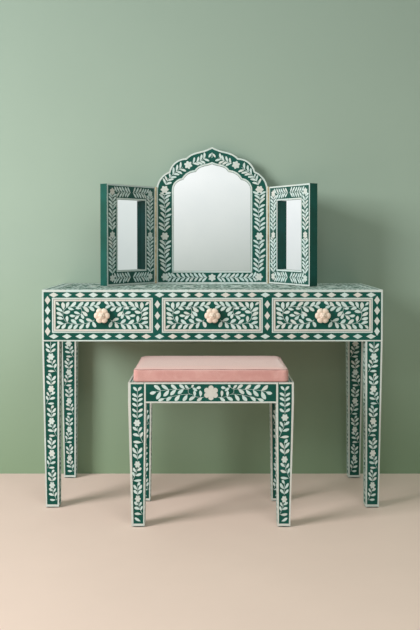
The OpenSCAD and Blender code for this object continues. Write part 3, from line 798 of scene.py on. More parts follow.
# legs
LEAN, FOOT = 9.5, 46.0
for fb in ("front", "back"):
    for lr in ("left", "right"):
        node = f"{fb}_{lr}_leg"
        lo, hi = box_mm(node)
        sx = 1 if lr == "left" else -1          # from the outer edge inwards
        sy = 1 if fb == "front" else -1
        ox = lo[0] if lr == "left" else hi[0]
        oy = lo[1] if fb == "front" else hi[1]
        foot_z = lo[2]

        def quad(a, b, z):
            c = [(ox + sx * a, oy + sy * a, z), (ox + sx * b, oy + sy * a, z), (ox + sx * b, oy + sy * b, z), (ox + sx * a, oy + sy * b, z)]
            c = sorted(c, key=lambda q: math.atan2(q[1] - oy - sy * 30, q[0] - ox - sx * 30))
            return [tuple(v * MM for v in q) for q in c]
        p = Piece(f"{fb}_{lr}_leg_inlay", "table")
        faces = leg_faces(p, quad(0, LEGW, CASEZ), quad(LEAN, LEAN + FOOT, foot_z), 50 + (sx + 1) * 5 + (sy + 1) * 17)
        for i, (f, h0, h1, length) in enumerate(faces):
            e = 6.0
            for s in (-1, 1):
                f.bar((s * (h0 - e / 2), -length + 0.2), (s * (h0 - e / 2), -0.2), e, hue=0.28)
            f.bar((-h0 + e + 0.1, -length + 5.0), (h0 - e - 0.1, -length + 5.0), 8.0, hue=0.28)
            first = 54.3
            f.stem([(0, -0.5), (0, -first + 12)])
            pairs(f, first - 114.5, 1.0)
            turn = sx if i % 2 == 0 else -sx
            for n in range(5):
                leg_motif(f, first + 114.5 * n, turn * (1 if n % 2 == 0 else -1), 114.5, last=(n == 4))
        p.build()

# ---------------------------------------------------------------------------
# table top
# ---------------------------------------------------------------------------
p = Piece("top_inlay", "table")
cy = (FRONT + BACK) / 2
f = Face(p, (0, cy * MM, TOPZ * MM), (1, 0, 0), (0, 1, 0), 71)
W, D = TX, (BACK - FRONT) / 2
f.border(-W, -D, W, D, 8.0, hue=0.08)
f.border(-W + 52, -D + 52, W - 52, D - 52, 5.0, hue=0.08)


def rect_inside(x0, y0, x1, y1):
    return lambda x, y, r: x0 + r <= x <= x1 - r and y0 + r <= y <= y1 - r


# border band: star flowers with vine between them
lanes = [(-W + 8, -D + 8, W - 8, -D + 52), (-W + 8, D - 52, W - 8, D - 8)]
for x0, y0, x1, y1 in lanes:
    ins = rect_inside(x0, y0, x1, y1)
    yc = (y0 + y1) / 2
    n = 10
    xs = [x0 + 22 + (x1 - x0 - 44) * i / n for i in range(n + 1)]
    for x in xs:
        f.flower(x, yc, 15, math.pi / 2)
    for i in range(n):
        a, b = xs[i] + 15, xs[i + 1] - 15
        m = (a + b) / 2
        if i < n // 2:
            a, b = b, a
        sway = 3.0
        f.vine([(a, yc), (a + (b - a) * .3, yc + sway), (a + (b - a) * .7, yc - sway), (b, yc)], ins, 17, 18, 8.2, 50, True, 3, 8, tip=False)
for s in (-1, 1):
    x0, x1 = sorted((s * (W - 52), s * (W - 8)))
    ins = rect_inside(x0, -D + 52, x1, D - 52)
    xc = (x0 + x1) / 2
    ys = [-D + 30 + (2 * D - 60) * i / 4 for i in range(5)]
    for y in ys[1:-1]:
        f.flower(xc, y, 15, 0.0)
    for i in range(4):
        a, b = ys[i] + 15, ys[i + 1] - 15
        f.vine([(xc, a), (xc + 3, a + (b - a) * .3), (xc - 3, a + (b - a) * .7), (xc, b)], rect_inside(x0, -D + 8, x1, D - 8), 17, 18, 8.2, 50, True, 3, 8, tip=False)

# field: scrolling vines that mirror about the middle
ins = rect_inside(-W + 58, -D + 58, W - 58, D - 58)
FX, FY = W - 58, D - 58
cells = 6
cw = 2 * FX / cells
for c in range(cells):
    xc = -FX + cw * (c + 0.5)
    f.flower(xc, 0, 24, math.pi / 2, pointed=False)
for c in range(cells + 1):
    xc = -FX + cw * c
    if 0 < c < cells:
        f.flower(xc, FY * 0.52, 16, 0.0)
        f.flower(xc, -FY * 0.52, 16, 0.0)
for c in range(cells):
    xc = -FX + cw * (c + 0.5)
    for s in (-1, 1):
        for t in (-1, 1):
            q = cw / 2
            f.vine([(xc + s * 4, t * 25), (xc + s * 10, t * FY * .42), (xc + s * q * .36, t * FY * .74), (xc + s * q * .72, t * FY * .90), (xc + s * q * .96, t * FY * .86)],
                   ins, 17, 20, 8.6, 46, True, 6, 6)
            f.vine([(xc + s * 24, t * 6), (xc + s * q * .52, t * 14), (xc + s * q * .84, t * 12), (xc + s * q * .98, t * 3)],
                   ins, 17, 19, 8.4, 48, True, 6, 6)
            f.vine([(xc + s * q * .30, t * FY * .62), (xc + s * q * .50, t * FY * .58), (xc + s * q * .66, t * FY * .42), (xc + s * q * .60, t * FY * .28)],
                   ins, 15, 17, 8.0, 50, True, 6, 4)
p.build()

# ---------------------------------------------------------------------------
# the centre mirror
# ---------------------------------------------------------------------------
FR_LO, FR_HI = box_mm("mirror_frame")
MY, MZ = FR_LO[1], FR_LO[2]


def circle_cross(c0, r0, c1, r1, upper=True):
    dx, dy = c1[0] - c0[0], c1[1] - c0[1]
    d = math.hypot(dx, dy)
    a = (r0 * r0 - r1 * r1 + d * d) / (2 * d)
    h = math.sqrt(max(0.0, r0 * r0 - a * a))
    xm, ym = c0[0] + a * dx / d, c0[1] + a * dy / d
    p1, p2 = (xm - h * dy / d, ym + h * dx / d), (xm + h * dy / d, ym - h * dx / d)
    return max(p1, p2, key=lambda q: q[0] + q[1]) if upper else min(p1, p2, key=lambda q: q[1])


def arch(d, half, bottom, circles, join, ogee, n=10):
    """Right half of an arch outline moved inwards by d, from the bottom corner to the point on the middle line.
    circles are (x, z, r) from the side to the middle; ogee is (x, z, r) of the hollow arc's centre."""
    out = []
    z_side = circles[0][1]
    for i in range(6):
        out.append((half - d, bottom + d + (z_side - bottom - d) * i / 6))
    cuts = []
    for (x0, z0, r0), (x1, z1, r1) in zip(circles, circles[1:]):
        cuts.append(circle_cross((x0, z0), r0 - d, (x1, z1), r1 - d))
    ox, oz, orad = ogee
    orad += d
    lx, lz, lr = circles[-1]
    jx = join - d * (join - lx) / lr
    start = 0.0
    for k, (x, z, r) in enumerate(circles):
        if k < len(cuts):
            end = math.atan2(cuts[k][1] - z, cuts[k][0] - x)
        else:
            end = math.acos((jx - x) / (r - d))
        for i in range(n):
            a = start + (end - start) * i / n
            out.append((x + (r - d) * math.cos(a), z + (r - d) * math.sin(a)))
        if k < len(cuts):
            x2, z2, _ = circles[k + 1]
            start = math.atan2(cuts[k][1] - z2, cuts[k][0] - x2)
    for i in range(n + 1):
        x = jx * (1 - i / n)
        out.append((x, oz - math.sqrt(orad * orad - (ox - x) ** 2)))
    return out


OUTER = dict(half=222.5, bottom=0.0, circles=[(141.2, 372.6, 81.3), (103.4, 430.8, 70.1), (45.0, 443.0, 82.8)], join=58.0, ogee=(86.3, 702.4, 179.0))
INNER = dict(half=153.8, bottom=51.1, circles=[(112.9, 375.0, 40.9), (64.3, 389.5, 57.8), (30.0, 429.5, 39.2)], join=34.0, ogee=(45.0, 579.4, 110.0))


def in_arch(spec, x, z, m):
    """True if (x, z) is inside the arch outline by more than m."""
    x = abs(x)
    if z < spec["bottom"] + m or x > spec["half"] - m:
        return False
    c = spec["circles"]
    if z <= c[0][1] and x <= spec["half"] - m:
        return True
    for cx, cz, r in c:
        if math.hypot(x - cx, z - cz) <= r - m:
            return True
    if x <= c[0][0] and z <= c[1][1]:
        return True
    if x <= c[1][0] and z <= c[2][1] + 20:
        return True
    ox, oz, orad = spec["ogee"]
    if x <= spec["join"] and z <= oz - math.sqrt(max(0.0, (orad + m) ** 2 - (ox - x) ** 2)):
        return True
    return False


def arch_line(d, spec, n=10):
    half = arch(d, n=n, **spec)
    return half + [(-x, z) for x, z in half[-2::-1]]


p = Piece("mirror_frame_inlay", "table")
f = Face(p, (0, MY * MM, MZ * MM), (1, 0, 0), (0, 0, 1), 81)
E = 6.4
f.band(arch_line(0.05, OUTER), arch_line(E, OUTER), 3, hue=0.16)
f.bar((222.4 - E - 0.1, E / 2), (-222.4 + E + 0.1, E / 2), E, hue=0.16)
f.bar((222.4 - E / 2 , 0.1), (222.4 - E / 2, E), E, hue=0.16)
f.bar((-222.4 + E / 2 , 0.1), (-222.4 + E / 2, E), E, hue=0.16)
f.band(arch_line(-E, INNER), arch_line(-0.05, INNER), 3, hue=0.16)
f.bar((153.8, 51.1 - E / 2), (-153.8, 51.1 - E / 2), E, hue=0.16)
f.bar((153.8 + E / 2, 51.1 - E), (153.8 + E / 2, 51.1), E, hue=0.16)
f.bar((-153.8 - E / 2, 51.1 - E), (-153.8 - E / 2, 51.1), E, hue=0.16)


def frame_inside(x, z, r):
    m = r + E
    return in_arch(OUTER, x, z, m) and not in_arch(INNER, x, z, -m)


for s in (-1, 1):
    for x, z, t in ((187, 27.5, 0), (188.5, 190, 0), (189, 376, 0), (95, 474, math.radians(15))):
        f.flower(s * x, z, 16.6, t * s, hue=f.rnd.choice([0.20, 0.30, 0.40]))
f.flower(0, 25.0, 16.0, math.pi / 2, hue=0.3)
for s in (-1, 1):
    f.vine([(s * 187, 46), (s * 185, 80), (s * 191, 120), (s * 187, 150), (s * 188, 172)], frame_inside, 18.2, 30, 9.2, 50, True, 1, 2, tip=False, least=0.40)
    f.vine([(s * 188, 209), (s * 191, 245), (s * 185, 285), (s * 191, 325), (s * 189, 359)], frame_inside, 18.2, 30, 9.2, 50, True, 1, 2, tip=False, least=0.40)
    f.vine([(s * 185, 394), (s * 174, 418), (s * 156, 438), (s * 136, 452), (s * 117, 465)], frame_inside, 16.8, 28, 8.8, 49, True, 1, 1, tip=False, least=0.36)
    f.vine([(s * 78, 479), (s * 60, 486), (s * 46, 491), (s * 34, 498), (s * 26, 503)], frame_inside, 15.0, 26, 8.4, 49, True, 1, 1, tip=False, least=0.34)
    f.vine([(s * 19, 25.5), (s * 60, 27.0), (s * 105, 24.0), (s * 150, 26.0), (s * 166, 26)], frame_inside, 17.4, 25.5, 9.2, 49, True, 1, 1, tip=False, least=0.38)
for s in (-1, 1):
    f.leaf(s * 1.2, 521, s * 13.5, 504, 8.0)
    f.stem([(s * 1.2, 524), (s * 0.9, 514), (s * 1.0, 502)], 1.1)
p.build()

# ---------------------------------------------------------------------------
# the wings
# ---------------------------------------------------------------------------
JOINT = {j["name"]: j for j in frame["joints"]}
WING_REST = {"left": 52.0, "right": 60.0}
RW, RH, RR = 270.0, 384.0, 57.0


def wing_frame_axes(side):
    """Origin, u and v of a wing's face: the origin at the corner by the hinge, x towards the free end."""
    s = -1 if side == "left" else 1
    a = math.radians(WING_REST[side]) * (1 if side == "left" else -1)
    axis = Vector((s * 224.0, (FR_LO[1] - 3.4), TOPZ + 2.5))
    turn = Matrix.Rotation(a, 3, "Z")
    origin = axis + turn @ Vector((-s * -1.5, 3.4, 0))
    out = turn @ Vector((s, 0, 0))
    return origin * MM, out, Vector((0, 0, 1)), turn @ Vector((0, -1, 0))


for side in ("left", "right"):
    s = -1 if side == "left" else 1
    origin, out, up, normal = wing_frame_axes(side)
    # the face's x must run so that u x v points out of the face
    u = out if out.cross(up).dot(normal) > 0 else -out
    centre = origin + out * RW / 2 * MM + up * RH / 2 * MM
    p = Piece(side + "_wing_inlay", side + "_wing")
    f = Face(p, centre, u, up, 90 + s)
    hw, hh, e = RW / 2, RH / 2, 5.8
    f.border(-hw, -hh, hw, hh, e, hue=0.16)
    ow, oh = hw - RR, hh - RR
    f.border(-ow - e, -oh - e, ow + e, oh + e, e, hue=0.16)

    def wing_inside(x, y, r):
        if abs(x) > hw - e - r or abs(y) > hh - e - r:
            return False
        return abs(x) > ow + e + r or abs(y) > oh + e + r
    cx, cz = hw - RR / 2 - 0.2, hh - RR / 2
    for q in (-1, 1):
        for y in (-cz, 0, cz):
            f.flower(q * cx, y, 14.4, math.pi / 2, hue=f.rnd.choice([0.2, 0.35, 0.5]))
        for y in (-cz, 0):
            f.vine([(q * cx, y + 16), (q * (cx + 2.5), y + 55), (q * (cx - 2.5), y + 100), (q * cx, y + cz - 16)], wing_inside, 15.8, 28, 8.4, 50, True, 1, 1, tip=False, least=0.38)
        for t in (-1, 1):
            f.vine([(q * 6, t * cz), (q * 26, t * cz + 1.5), (q * 54, t * cz - 1.0), (q * (cx - 18), t * cz)], wing_inside, 15.0, 27, 8.2, 50, True, 1, 1, tip=False, least=0.36)
    p.build()

# a thin lining on the hinge side of each wing's rebate, down to the glass. It shows from the glass's side only.
LINING = make_resin("green_resin_lining", lin(0, 70, 67), lin(1, 58, 48), lin(80, 128, 118))
lt = LINING.node_tree
lp = next(n for n in lt.nodes if n.type == "BSDF_PRINCIPLED")
lo_ = next(n for n in lt.nodes if n.type == "OUTPUT_MATERIAL")
lg, lc, lm = lt.nodes.new("ShaderNodeNewGeometry"), lt.nodes.new("ShaderNodeBsdfTransparent"), lt.nodes.new("ShaderNodeMixShader")
lt.links.new(lg.outputs["Backfacing"], lm.inputs[0])
lt.links.new(lp.outputs[0], lm.inputs[1])
lt.links.new(lc.outputs[0], lm.inputs[2])
lt.links.new(lm.outputs[0], lo_.inputs["Surface"])
LINING_BACK = make_resin("green_resin_lining_back", lin(0, 70, 67), lin(1, 58, 48), lin(80, 128, 118))
next(n for n in LINING_BACK.node_tree.nodes if n.type == "BSDF_PRINCIPLED").inputs["Alpha"].default_value = 0.0
for side in ("left", "right"):
    origin, out, up, normal = wing_frame_axes(side)
    verts = []
    for dpt in (-0.5, -21.8):
        for x, z in ((RR + 0.02, RR + 0.1), (RR + 0.6, RR + 0.7), (RR + 0.6, RH - RR - 0.7), (RR + 0.02, RH - RR - 0.1)):
            verts.append(origin + (out * x + up * z + normal * dpt) * MM)
    faces = [(0, 1, 2, 3), (7, 6, 5, 4), (4, 5, 1, 0), (5, 6, 2, 1), (6, 7, 3, 2), (7, 4, 0, 3)]
    if out.cross(up).dot(normal) < 0:
        faces = [q[::-1] for q in faces]
    mesh = bpy.data.meshes.new(side + "_rebate_lining")
    mesh.from_pydata([tuple(v) for v in verts], [], faces)
    mesh.materials.append(LINING)
    mesh.materials.append(LINING_BACK)
    mesh.polygons[5].material_index = 1
    obj = bpy.data.objects.new(side + "_rebate_lining", mesh)
    bpy.context.scene.collection.objects.link(obj)
    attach(obj, side + "_wing")

# the glasses mirror the studio and their own linings, not the frames opposite
for name in ("mirror_frame", "mirror_glass", "mirror_backboard", "mirror_straps", "left_wing_frame", "right_wing_frame", "left_wing_glass",
             "right_wing_glass", "left_wing_backboard", "right_wing_backboard", "hinge_leaves", "hinge_pins", "left_wing_hinge_leaf", "right_wing_hinge_leaf",
             "mirror_screws", "left_wing_screws", "right_wing_screws"):
    NODES[name].visible_glossy = False
for name in ("mirror_frame_inlay", "left_wing_inlay", "right_wing_inlay"):
    bpy.data.objects[name].visible_glossy = False

# ---------------------------------------------------------------------------
# the stool
# ---------------------------------------------------------------------------
AP_LO, AP_HI = box_mm("stool_front_apron")
SL_LO, SL_HI = box_mm("stool_front_left_leg")
SB_LO, SB_HI = box_mm("stool_back_right_leg")
SCX, SX, SF, SB = (SL_LO[0] + SB_HI[0]) / 2, (SB_HI[0] - SL_LO[0]) / 2, SL_LO[1], SB_HI[1]
STOP, SAP = AP_HI[2], AP_LO[2]
SLW = SL_HI[0] - SL_LO[0]
APRON_STEMS = [
    [(22, -13.5), (35, -14.5), (50, -11.5), (64, -5), (78, -4.5), (100, -6.5), (125, -11.5), (147, -17.5), (152, -18.4)],
    [(64, -5), (70.5, -2.5), (74, 2.5), (73.5, 7.5), (77, 11.4), (86, 11.9), (110, 10.8), (137, 10), (163, 6.5), (178, 3.5)],
    [(73.5, 7.5), (70, 13.5), (62, 16.8), (54, 16.2), (48.5, 13.8)],
]
APRON_LEAVES = [
    (48.5, 14, 32.6, 17.5, 7.5), (34.3, -13, 35.0, 7.6, 7.5), (52.0, -11.2, 54.4, 6.0, 7), (60, 15.8, 45, 6.2, 7),
    (63.0, 16.8, 56, 25.4, 5.5), (71, 12.2, 84, 24.8, 6.5), (27.5, -14, 45.6, -25.2, 7.5), (49.5, -11.7, 71, -24, 8.5),
    (76.6, -4.6, 91, -25.6, 9), (100.8, -6.8, 116.8, -25.2, 9), (126, -11.8, 144.6, -25.4, 8.5), (150, -18, 171, -25, 7.5),
    (84.6, 11.9, 103, 25.6, 8.5), (109, 11.0, 129.4, 25.6, 8.5), (136.6, 10, 160.4, 25.4, 9), (162.2, 6.8, 184.4, 23.6, 9),
    (177, 3.6, 198, -2.2, 9), (163.8, 6.4, 176.6, -20.6, 10.5), (135.6, 10, 153.6, -10.8, 9), (112, 10.8, 131.4, -7.4, 9),
    (88, 11.6, 107.6, -2.8, 9),
]


def stool_apron(face, hw, hh, detail=True):
    """Border strips and the two-branched vine from a middle flower."""
    face.bar((-hw, hh - 2.6), (hw, hh - 2.6), 5.0, hue=0.42)
    face.bar((hw, -hh + 2.8), (-hw, -hh + 2.8), 5.4, hue=0.42)
    sx, sy = (hw - 2.2) / 209.0, (hh - 5.4) / 27.3
    face.flower(0, 0, 23.6 * sy, math.pi / 2, pointed=False, hue=0.62)
    for s in (-1, 1):
        for line in APRON_STEMS:
            face.stem([(s * x * sx, y * sy) for x, y in line], 0.9)
        for bx, by, tx, ty, w in APRON_LEAVES:
            face.leaf(s * bx * sx, by * sy, s * tx * sx, ty * sy, w * 1.20 * sy)


for name, y, s in (("stool_front_inlay", SF, 1), ("stool_back_inlay", SB, -1)):
    p = Piece(name, "stool")
    f = Face(p, (SCX * MM, y * MM, (STOP + SAP) / 2 * MM), (s, 0, 0), (0, 0, 1), 100 + s)
    stool_apron(f, SX - SLW, (STOP - SAP) / 2)
    p.build()


def short_apron(face, hw, hh):
    face.bar((-hw, hh - 2.6), (hw, hh - 2.6), 5.0, hue=0.42)
    face.bar((hw, -hh + 2.8), (-hw, -hh + 2.8), 5.4, hue=0.42)
    face.flower(0, 0, 21.0, math.pi / 2, pointed=False, hue=0.22)
    ins = rect_inside(-hw + 2, -hh + 6, hw - 2, hh - 6)
    for s in (-1, 1):
        face.vine([(s * 21, -11), (s * 34, -13), (s * 52, -8), (s * 74, 1), (s * 92, 0)], ins, 18, 20, 8.4, 48, True, 6, 6)


for side, s in (("left", -1), ("right", 1)):
    p = Piece("stool_" + side + "_inlay", "stool")
    f = Face(p, ((SCX + s * SX) * MM, (SF + SB) / 2 * MM, (STOP + SAP) / 2 * MM), (0, s, 0), (0, 0, 1), 104 + s)
    short_apron(f, (SB - SF) / 2 - SLW, (STOP - SAP) / 2)
    p.build()

SLEAN, SFOOT = 10.0, 42.0
for fb in ("front", "back"):
    for lr in ("left", "right"):
        lo, hi = box_mm(f"stool_{fb}_{lr}_leg")
        sx = 1 if lr == "left" else -1
        sy = 1 if fb == "front" else -1
        ox = lo[0] if lr == "left" else hi[0]
        oy = lo[1] if fb == "front" else hi[1]
        foot_z = lo[2]

        def quad(a, b, z):
            c = [(ox + sx * a, oy + sy * a, z), (ox + sx * b, oy + sy * a, z), (ox + sx * b, oy + sy * b, z), (ox + sx * a, oy + sy * b, z)]
            c = sorted(c, key=lambda q: math.atan2(q[1] - oy - sy * 29, q[0] - ox - sx * 29))
            return [tuple(v * MM for v in q) for q in c]
        p = Piece(f"stool_{fb}_{lr}_leg_inlay", "stool")
        low = leg_faces(p, quad(0, SLW, SAP), quad(SLEAN, SLEAN + SFOOT, foot_z), 130 + (sx + 1) * 5 + (sy + 1) * 17)
        for i, (f, h0, h1, length) in enumerate(low):
            # which way the face looks: outward faces run on up to the frame's top
            n = f.n
            outer = (n.x * sx < -0.5) or (n.y * sy < -0.5)
            rise = (STOP - SAP) if outer else 0.0
            edges = {-1: 6.0, 1: 6.0}
            if fb == "front" and n.y < -0.5:
                edges = {-1: 8.5, 1: 5.4} if lr == "left" else {-1: 6.2, 1: 6.8}
            for s in (-1, 1):
                e = edges[s]
                f.bar((s * (h0 - e / 2), -length + 0.2), (s * (h0 - e / 2), -0.1), e, hue=0.46)
                if outer:
                    f2 = Face(p, f.o, f.u, (0, 0, 1), 300 + i + s)
                    f2.bar((s * (h0 - e / 2), 0.1), (s * (h0 - e / 2), rise - 0.1), e, hue=0.46)
            f.bar((-h0 + 6.1, -length + 5.0), (h0 - 6.1, -length + 5.0), 8.0, hue=0.46)
            if outer:
                up = Face(p, f.o, f.u, (0, 0, 1), 330 + i)
                up.bar((-h0 + 8.6, rise - 2.6), (h0 - 6.9, rise - 2.6), 5.0, hue=0.46)
                left = lr == "left"
                count = 6 if left else 5
                flowers = [134, 272, 387] if left else [116, 255.5, 388.5]
                flowers = [d - rise for d in flowers]
                shift = 0.5 * (edges[-1] - edges[1])
                bases = [29, 48.6, 63.4, 79.8, 98, 116][:count] if left else [27, 46, 62, 79, 98]
                up.stem([(shift, rise - bases[0] + 2), (shift * 0.5, 0.0)])
                f.stem([(shift * 0.5, 0.0), (0, -flowers[0] + 12)])
                for b in bases:
                    z = rise - b
                    g = up if z > 3 else f
                    for q in (-1, 1):
                        g.leaf(q * 0.8 + shift, z, q * (17.0 if b > 30 else 13.5) + shift, z + (11.5 if b > 30 else 14.5), 8.8)
            else:
                flowers = [66, 204, 319]
                f.stem([(0, -1.0), (0, -flowers[0] + 12)])
                for b in (22, 38, 52):
                    for q in (-1, 1):
                        f.leaf(q * 0.8, -b + 2, q * 17, -b + 13, 8.6)
            first = sx if i % 2 == 0 else -sx
            gaps = [flowers[1] - flowers[0], flowers[2] - flowers[1], 114.5]
            for k, d in enumerate(flowers):
                scale = h0 / 30.0
                leg_motif(f, d, first * (1 if k % 2 == 0 else -1), gaps[k] if k < 2 else min(114.5, (length - 13 - d) * 114.5 / 82.0), 9.8, last=(k == 2), wide=1)
        p.build()

# rim of the frame round the cushion
p = Piece("stool_rim_inlay", "stool")
yc = (SF + SB) / 2
f = Face(p, (SCX * MM, yc * MM, STOP * MM), (1, 0, 0), (0, 1, 0), 111)
hx, hy = SX, (SB - SF) / 2
f.border(-hx, -hy, hx, hy, 5.6, hue=0.42)
for s in (-1, 1):
    for i in range(26):
        x = -hx + 22 + (2 * hx - 44) * i / 25
        f.diamond(x, s * (hy - 12.2), 8.6, 4.6)
    for i in range(16):
        y = -hy + 22 + (2 * hy - 44) * i / 15
        f.diamond(s * (hx - 12.2), y, 4.6, 8.6)
p.build()


# ---------------------------------------------------------------------------
# flower knobs
# ---------------------------------------------------------------------------
def knob(name):
    """A carved six-petalled flower: a ring of round petals, a smaller ring on it, and a bead."""
    lo, hi = box_mm(name + "_knob")
    cx, cz = (lo[0] + hi[0]) / 2, (lo[2] + hi[2]) / 2
    y_face, out_y = hi[1], lo[1]
    depth = y_face - out_y
    R = (hi[0] - lo[0]) / 2
    n = 96
    rings = []

    def ring(radius, lobe, height, dip=0.0, phase=0.0):
        """radius with petals of strength lobe; height above the drawer; dip lowers the grooves between petals."""
        pts = []
        for i in range(n):
            a = 2 * math.pi * i / n
            c = abs(math.cos(3 * (a - phase)))
            k = 1.0 - lobe * (1.0 - c ** 0.55)
            h = height - dip * (1.0 - c ** 0.7)
            pts.append((cx + radius * k * math.cos(a), y_face - h, cz + radius * k * math.sin(a)))
        rings.append(pts)
    # foot and neck against the drawer
    ring(R * 0.40, 0.0, 0.0)
    ring(R * 0.40, 0.0, 2.0)
    ring(R * 0.34, 0.0, 5.5)
    ring(R * 0.50, 0.04, 9.5)
    # outer petals, back to front
    ring(R * 0.86, 0.15, 10.6, 0.0)
    ring(R * 0.98, 0.19, 12.8, 0.2)
    ring(R * 1.0, 0.21, 15.0, 0.5)
    ring(R * 0.985, 0.21, 17.6, 1.0)
    ring(R * 0.92, 0.19, 20.0, 1.6)
    ring(R * 0.79, 0.15, 21.8, 2.1)
    ring(R * 0.60, 0.10, 22.6, 2.2)
    ring(R * 0.45, 0.06, 21.9, 1.6)
    # inner petals
    ring(R * 0.405, 0.10, 22.6, 0.6)
    ring(R * 0.39, 0.12, 24.2, 0.8)
    ring(R * 0.335, 0.12, 25.6, 1.2)
    ring(R * 0.255, 0.10, 26.3, 1.2)
    ring(R * 0.190, 0.05, 26.0, 0.6)
    # bead
    ring(R * 0.170, 0.0, 26.6)
    ring(R * 0.160, 0.0, 27.8)
    ring(R * 0.115, 0.0, 28.9)
    ring(R * 0.05, 0.0, depth - 0.05)
    verts = [tuple(c * MM for c in q) for r_ in rings for q in r_]
    faces = [tuple(range(n))]
    for k in range(len(rings) - 1):
        faces += [(k * n + i, (k + 1) * n + i, (k + 1) * n + (i + 1) % n, k * n + (i + 1) % n) for i in range(n)]
    faces.append(tuple(range(len(rings) * n - 1, (len(rings) - 1) * n - 1, -1)))
    mesh = bpy.data.meshes.new(name + "_flower_knob")
    mesh.from_pydata(verts, [], faces)
    tone = mesh.attributes.new("tone", "FLOAT", "POINT")
    hue = mesh.attributes.new("hue", "FLOAT", "POINT")
    # painted shade: the hue attribute tints the knob toward tan in the grooves between petals and at the roots of the
    # petal rings and bead
    painted_crease_shade = []
    for k in range(len(rings)):
        for i in range(n):
            a = 2 * math.pi * i / n
            c = abs(math.cos(3 * a))
            groove_shade = (1.0 - c ** 0.5) * (0.35 if 4 <= k <= 16 else 0.0)
            root_shade = 0.45 if k in (10, 11, 12, 16, 17) else 0.0
            painted_crease_shade.append(min(1.0, 0.05 + groove_shade + root_shade))
    tone.data.foreach_set("value", np.full(len(verts), 0.4, np.float32))
    hue.data.foreach_set("value", np.array(painted_crease_shade, np.float32))
    mesh.materials.append(KNOB_BONE)
    mesh.polygons.foreach_set("use_smooth", [True] * len(mesh.polygons))
    mesh.update()
    obj = bpy.data.objects.new(name + "_flower_knob", mesh)
    bpy.context.scene.collection.objects.link(obj)
    sub = obj.modifiers.new("soft", "SUBSURF")
    sub.levels = sub.render_levels = 1
    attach(obj, name + "_drawer")
    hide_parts(name + "_knob")
    return obj


for name in DRAWERS:
    knob(name)


# ---------------------------------------------------------------------------
# cushion
# ---------------------------------------------------------------------------
def rounded_loop(hx, hy, r, per=10, side=14):
    """Counter-clockwise points of a rounded rectangle, evenly enough spaced for cloth."""
    pts = []
    corners = [(hx - r, -hy + r, -90), (hx - r, hy - r, 0), (-hx + r, hy - r, 90), (-hx + r, -hy + r, 180)]
    for k, (x, y, a0) in enumerate(corners):
        for i in range(per + 1):
            a = math.radians(a0 + 90.0 * i / per)
            pts.append((x + r * math.cos(a), y + r * math.sin(a)))
        nx, ny, na = corners[(k + 1) % 4]
        b = (nx + r * math.cos(math.radians(na)), ny + r * math.sin(math.radians(na)))
        a = pts[-1]
        for i in range(1, side):
            pts.append((a[0] + (b[0] - a[0]) * i / side, a[1] + (b[1] - a[1]) * i / side))
    return pts


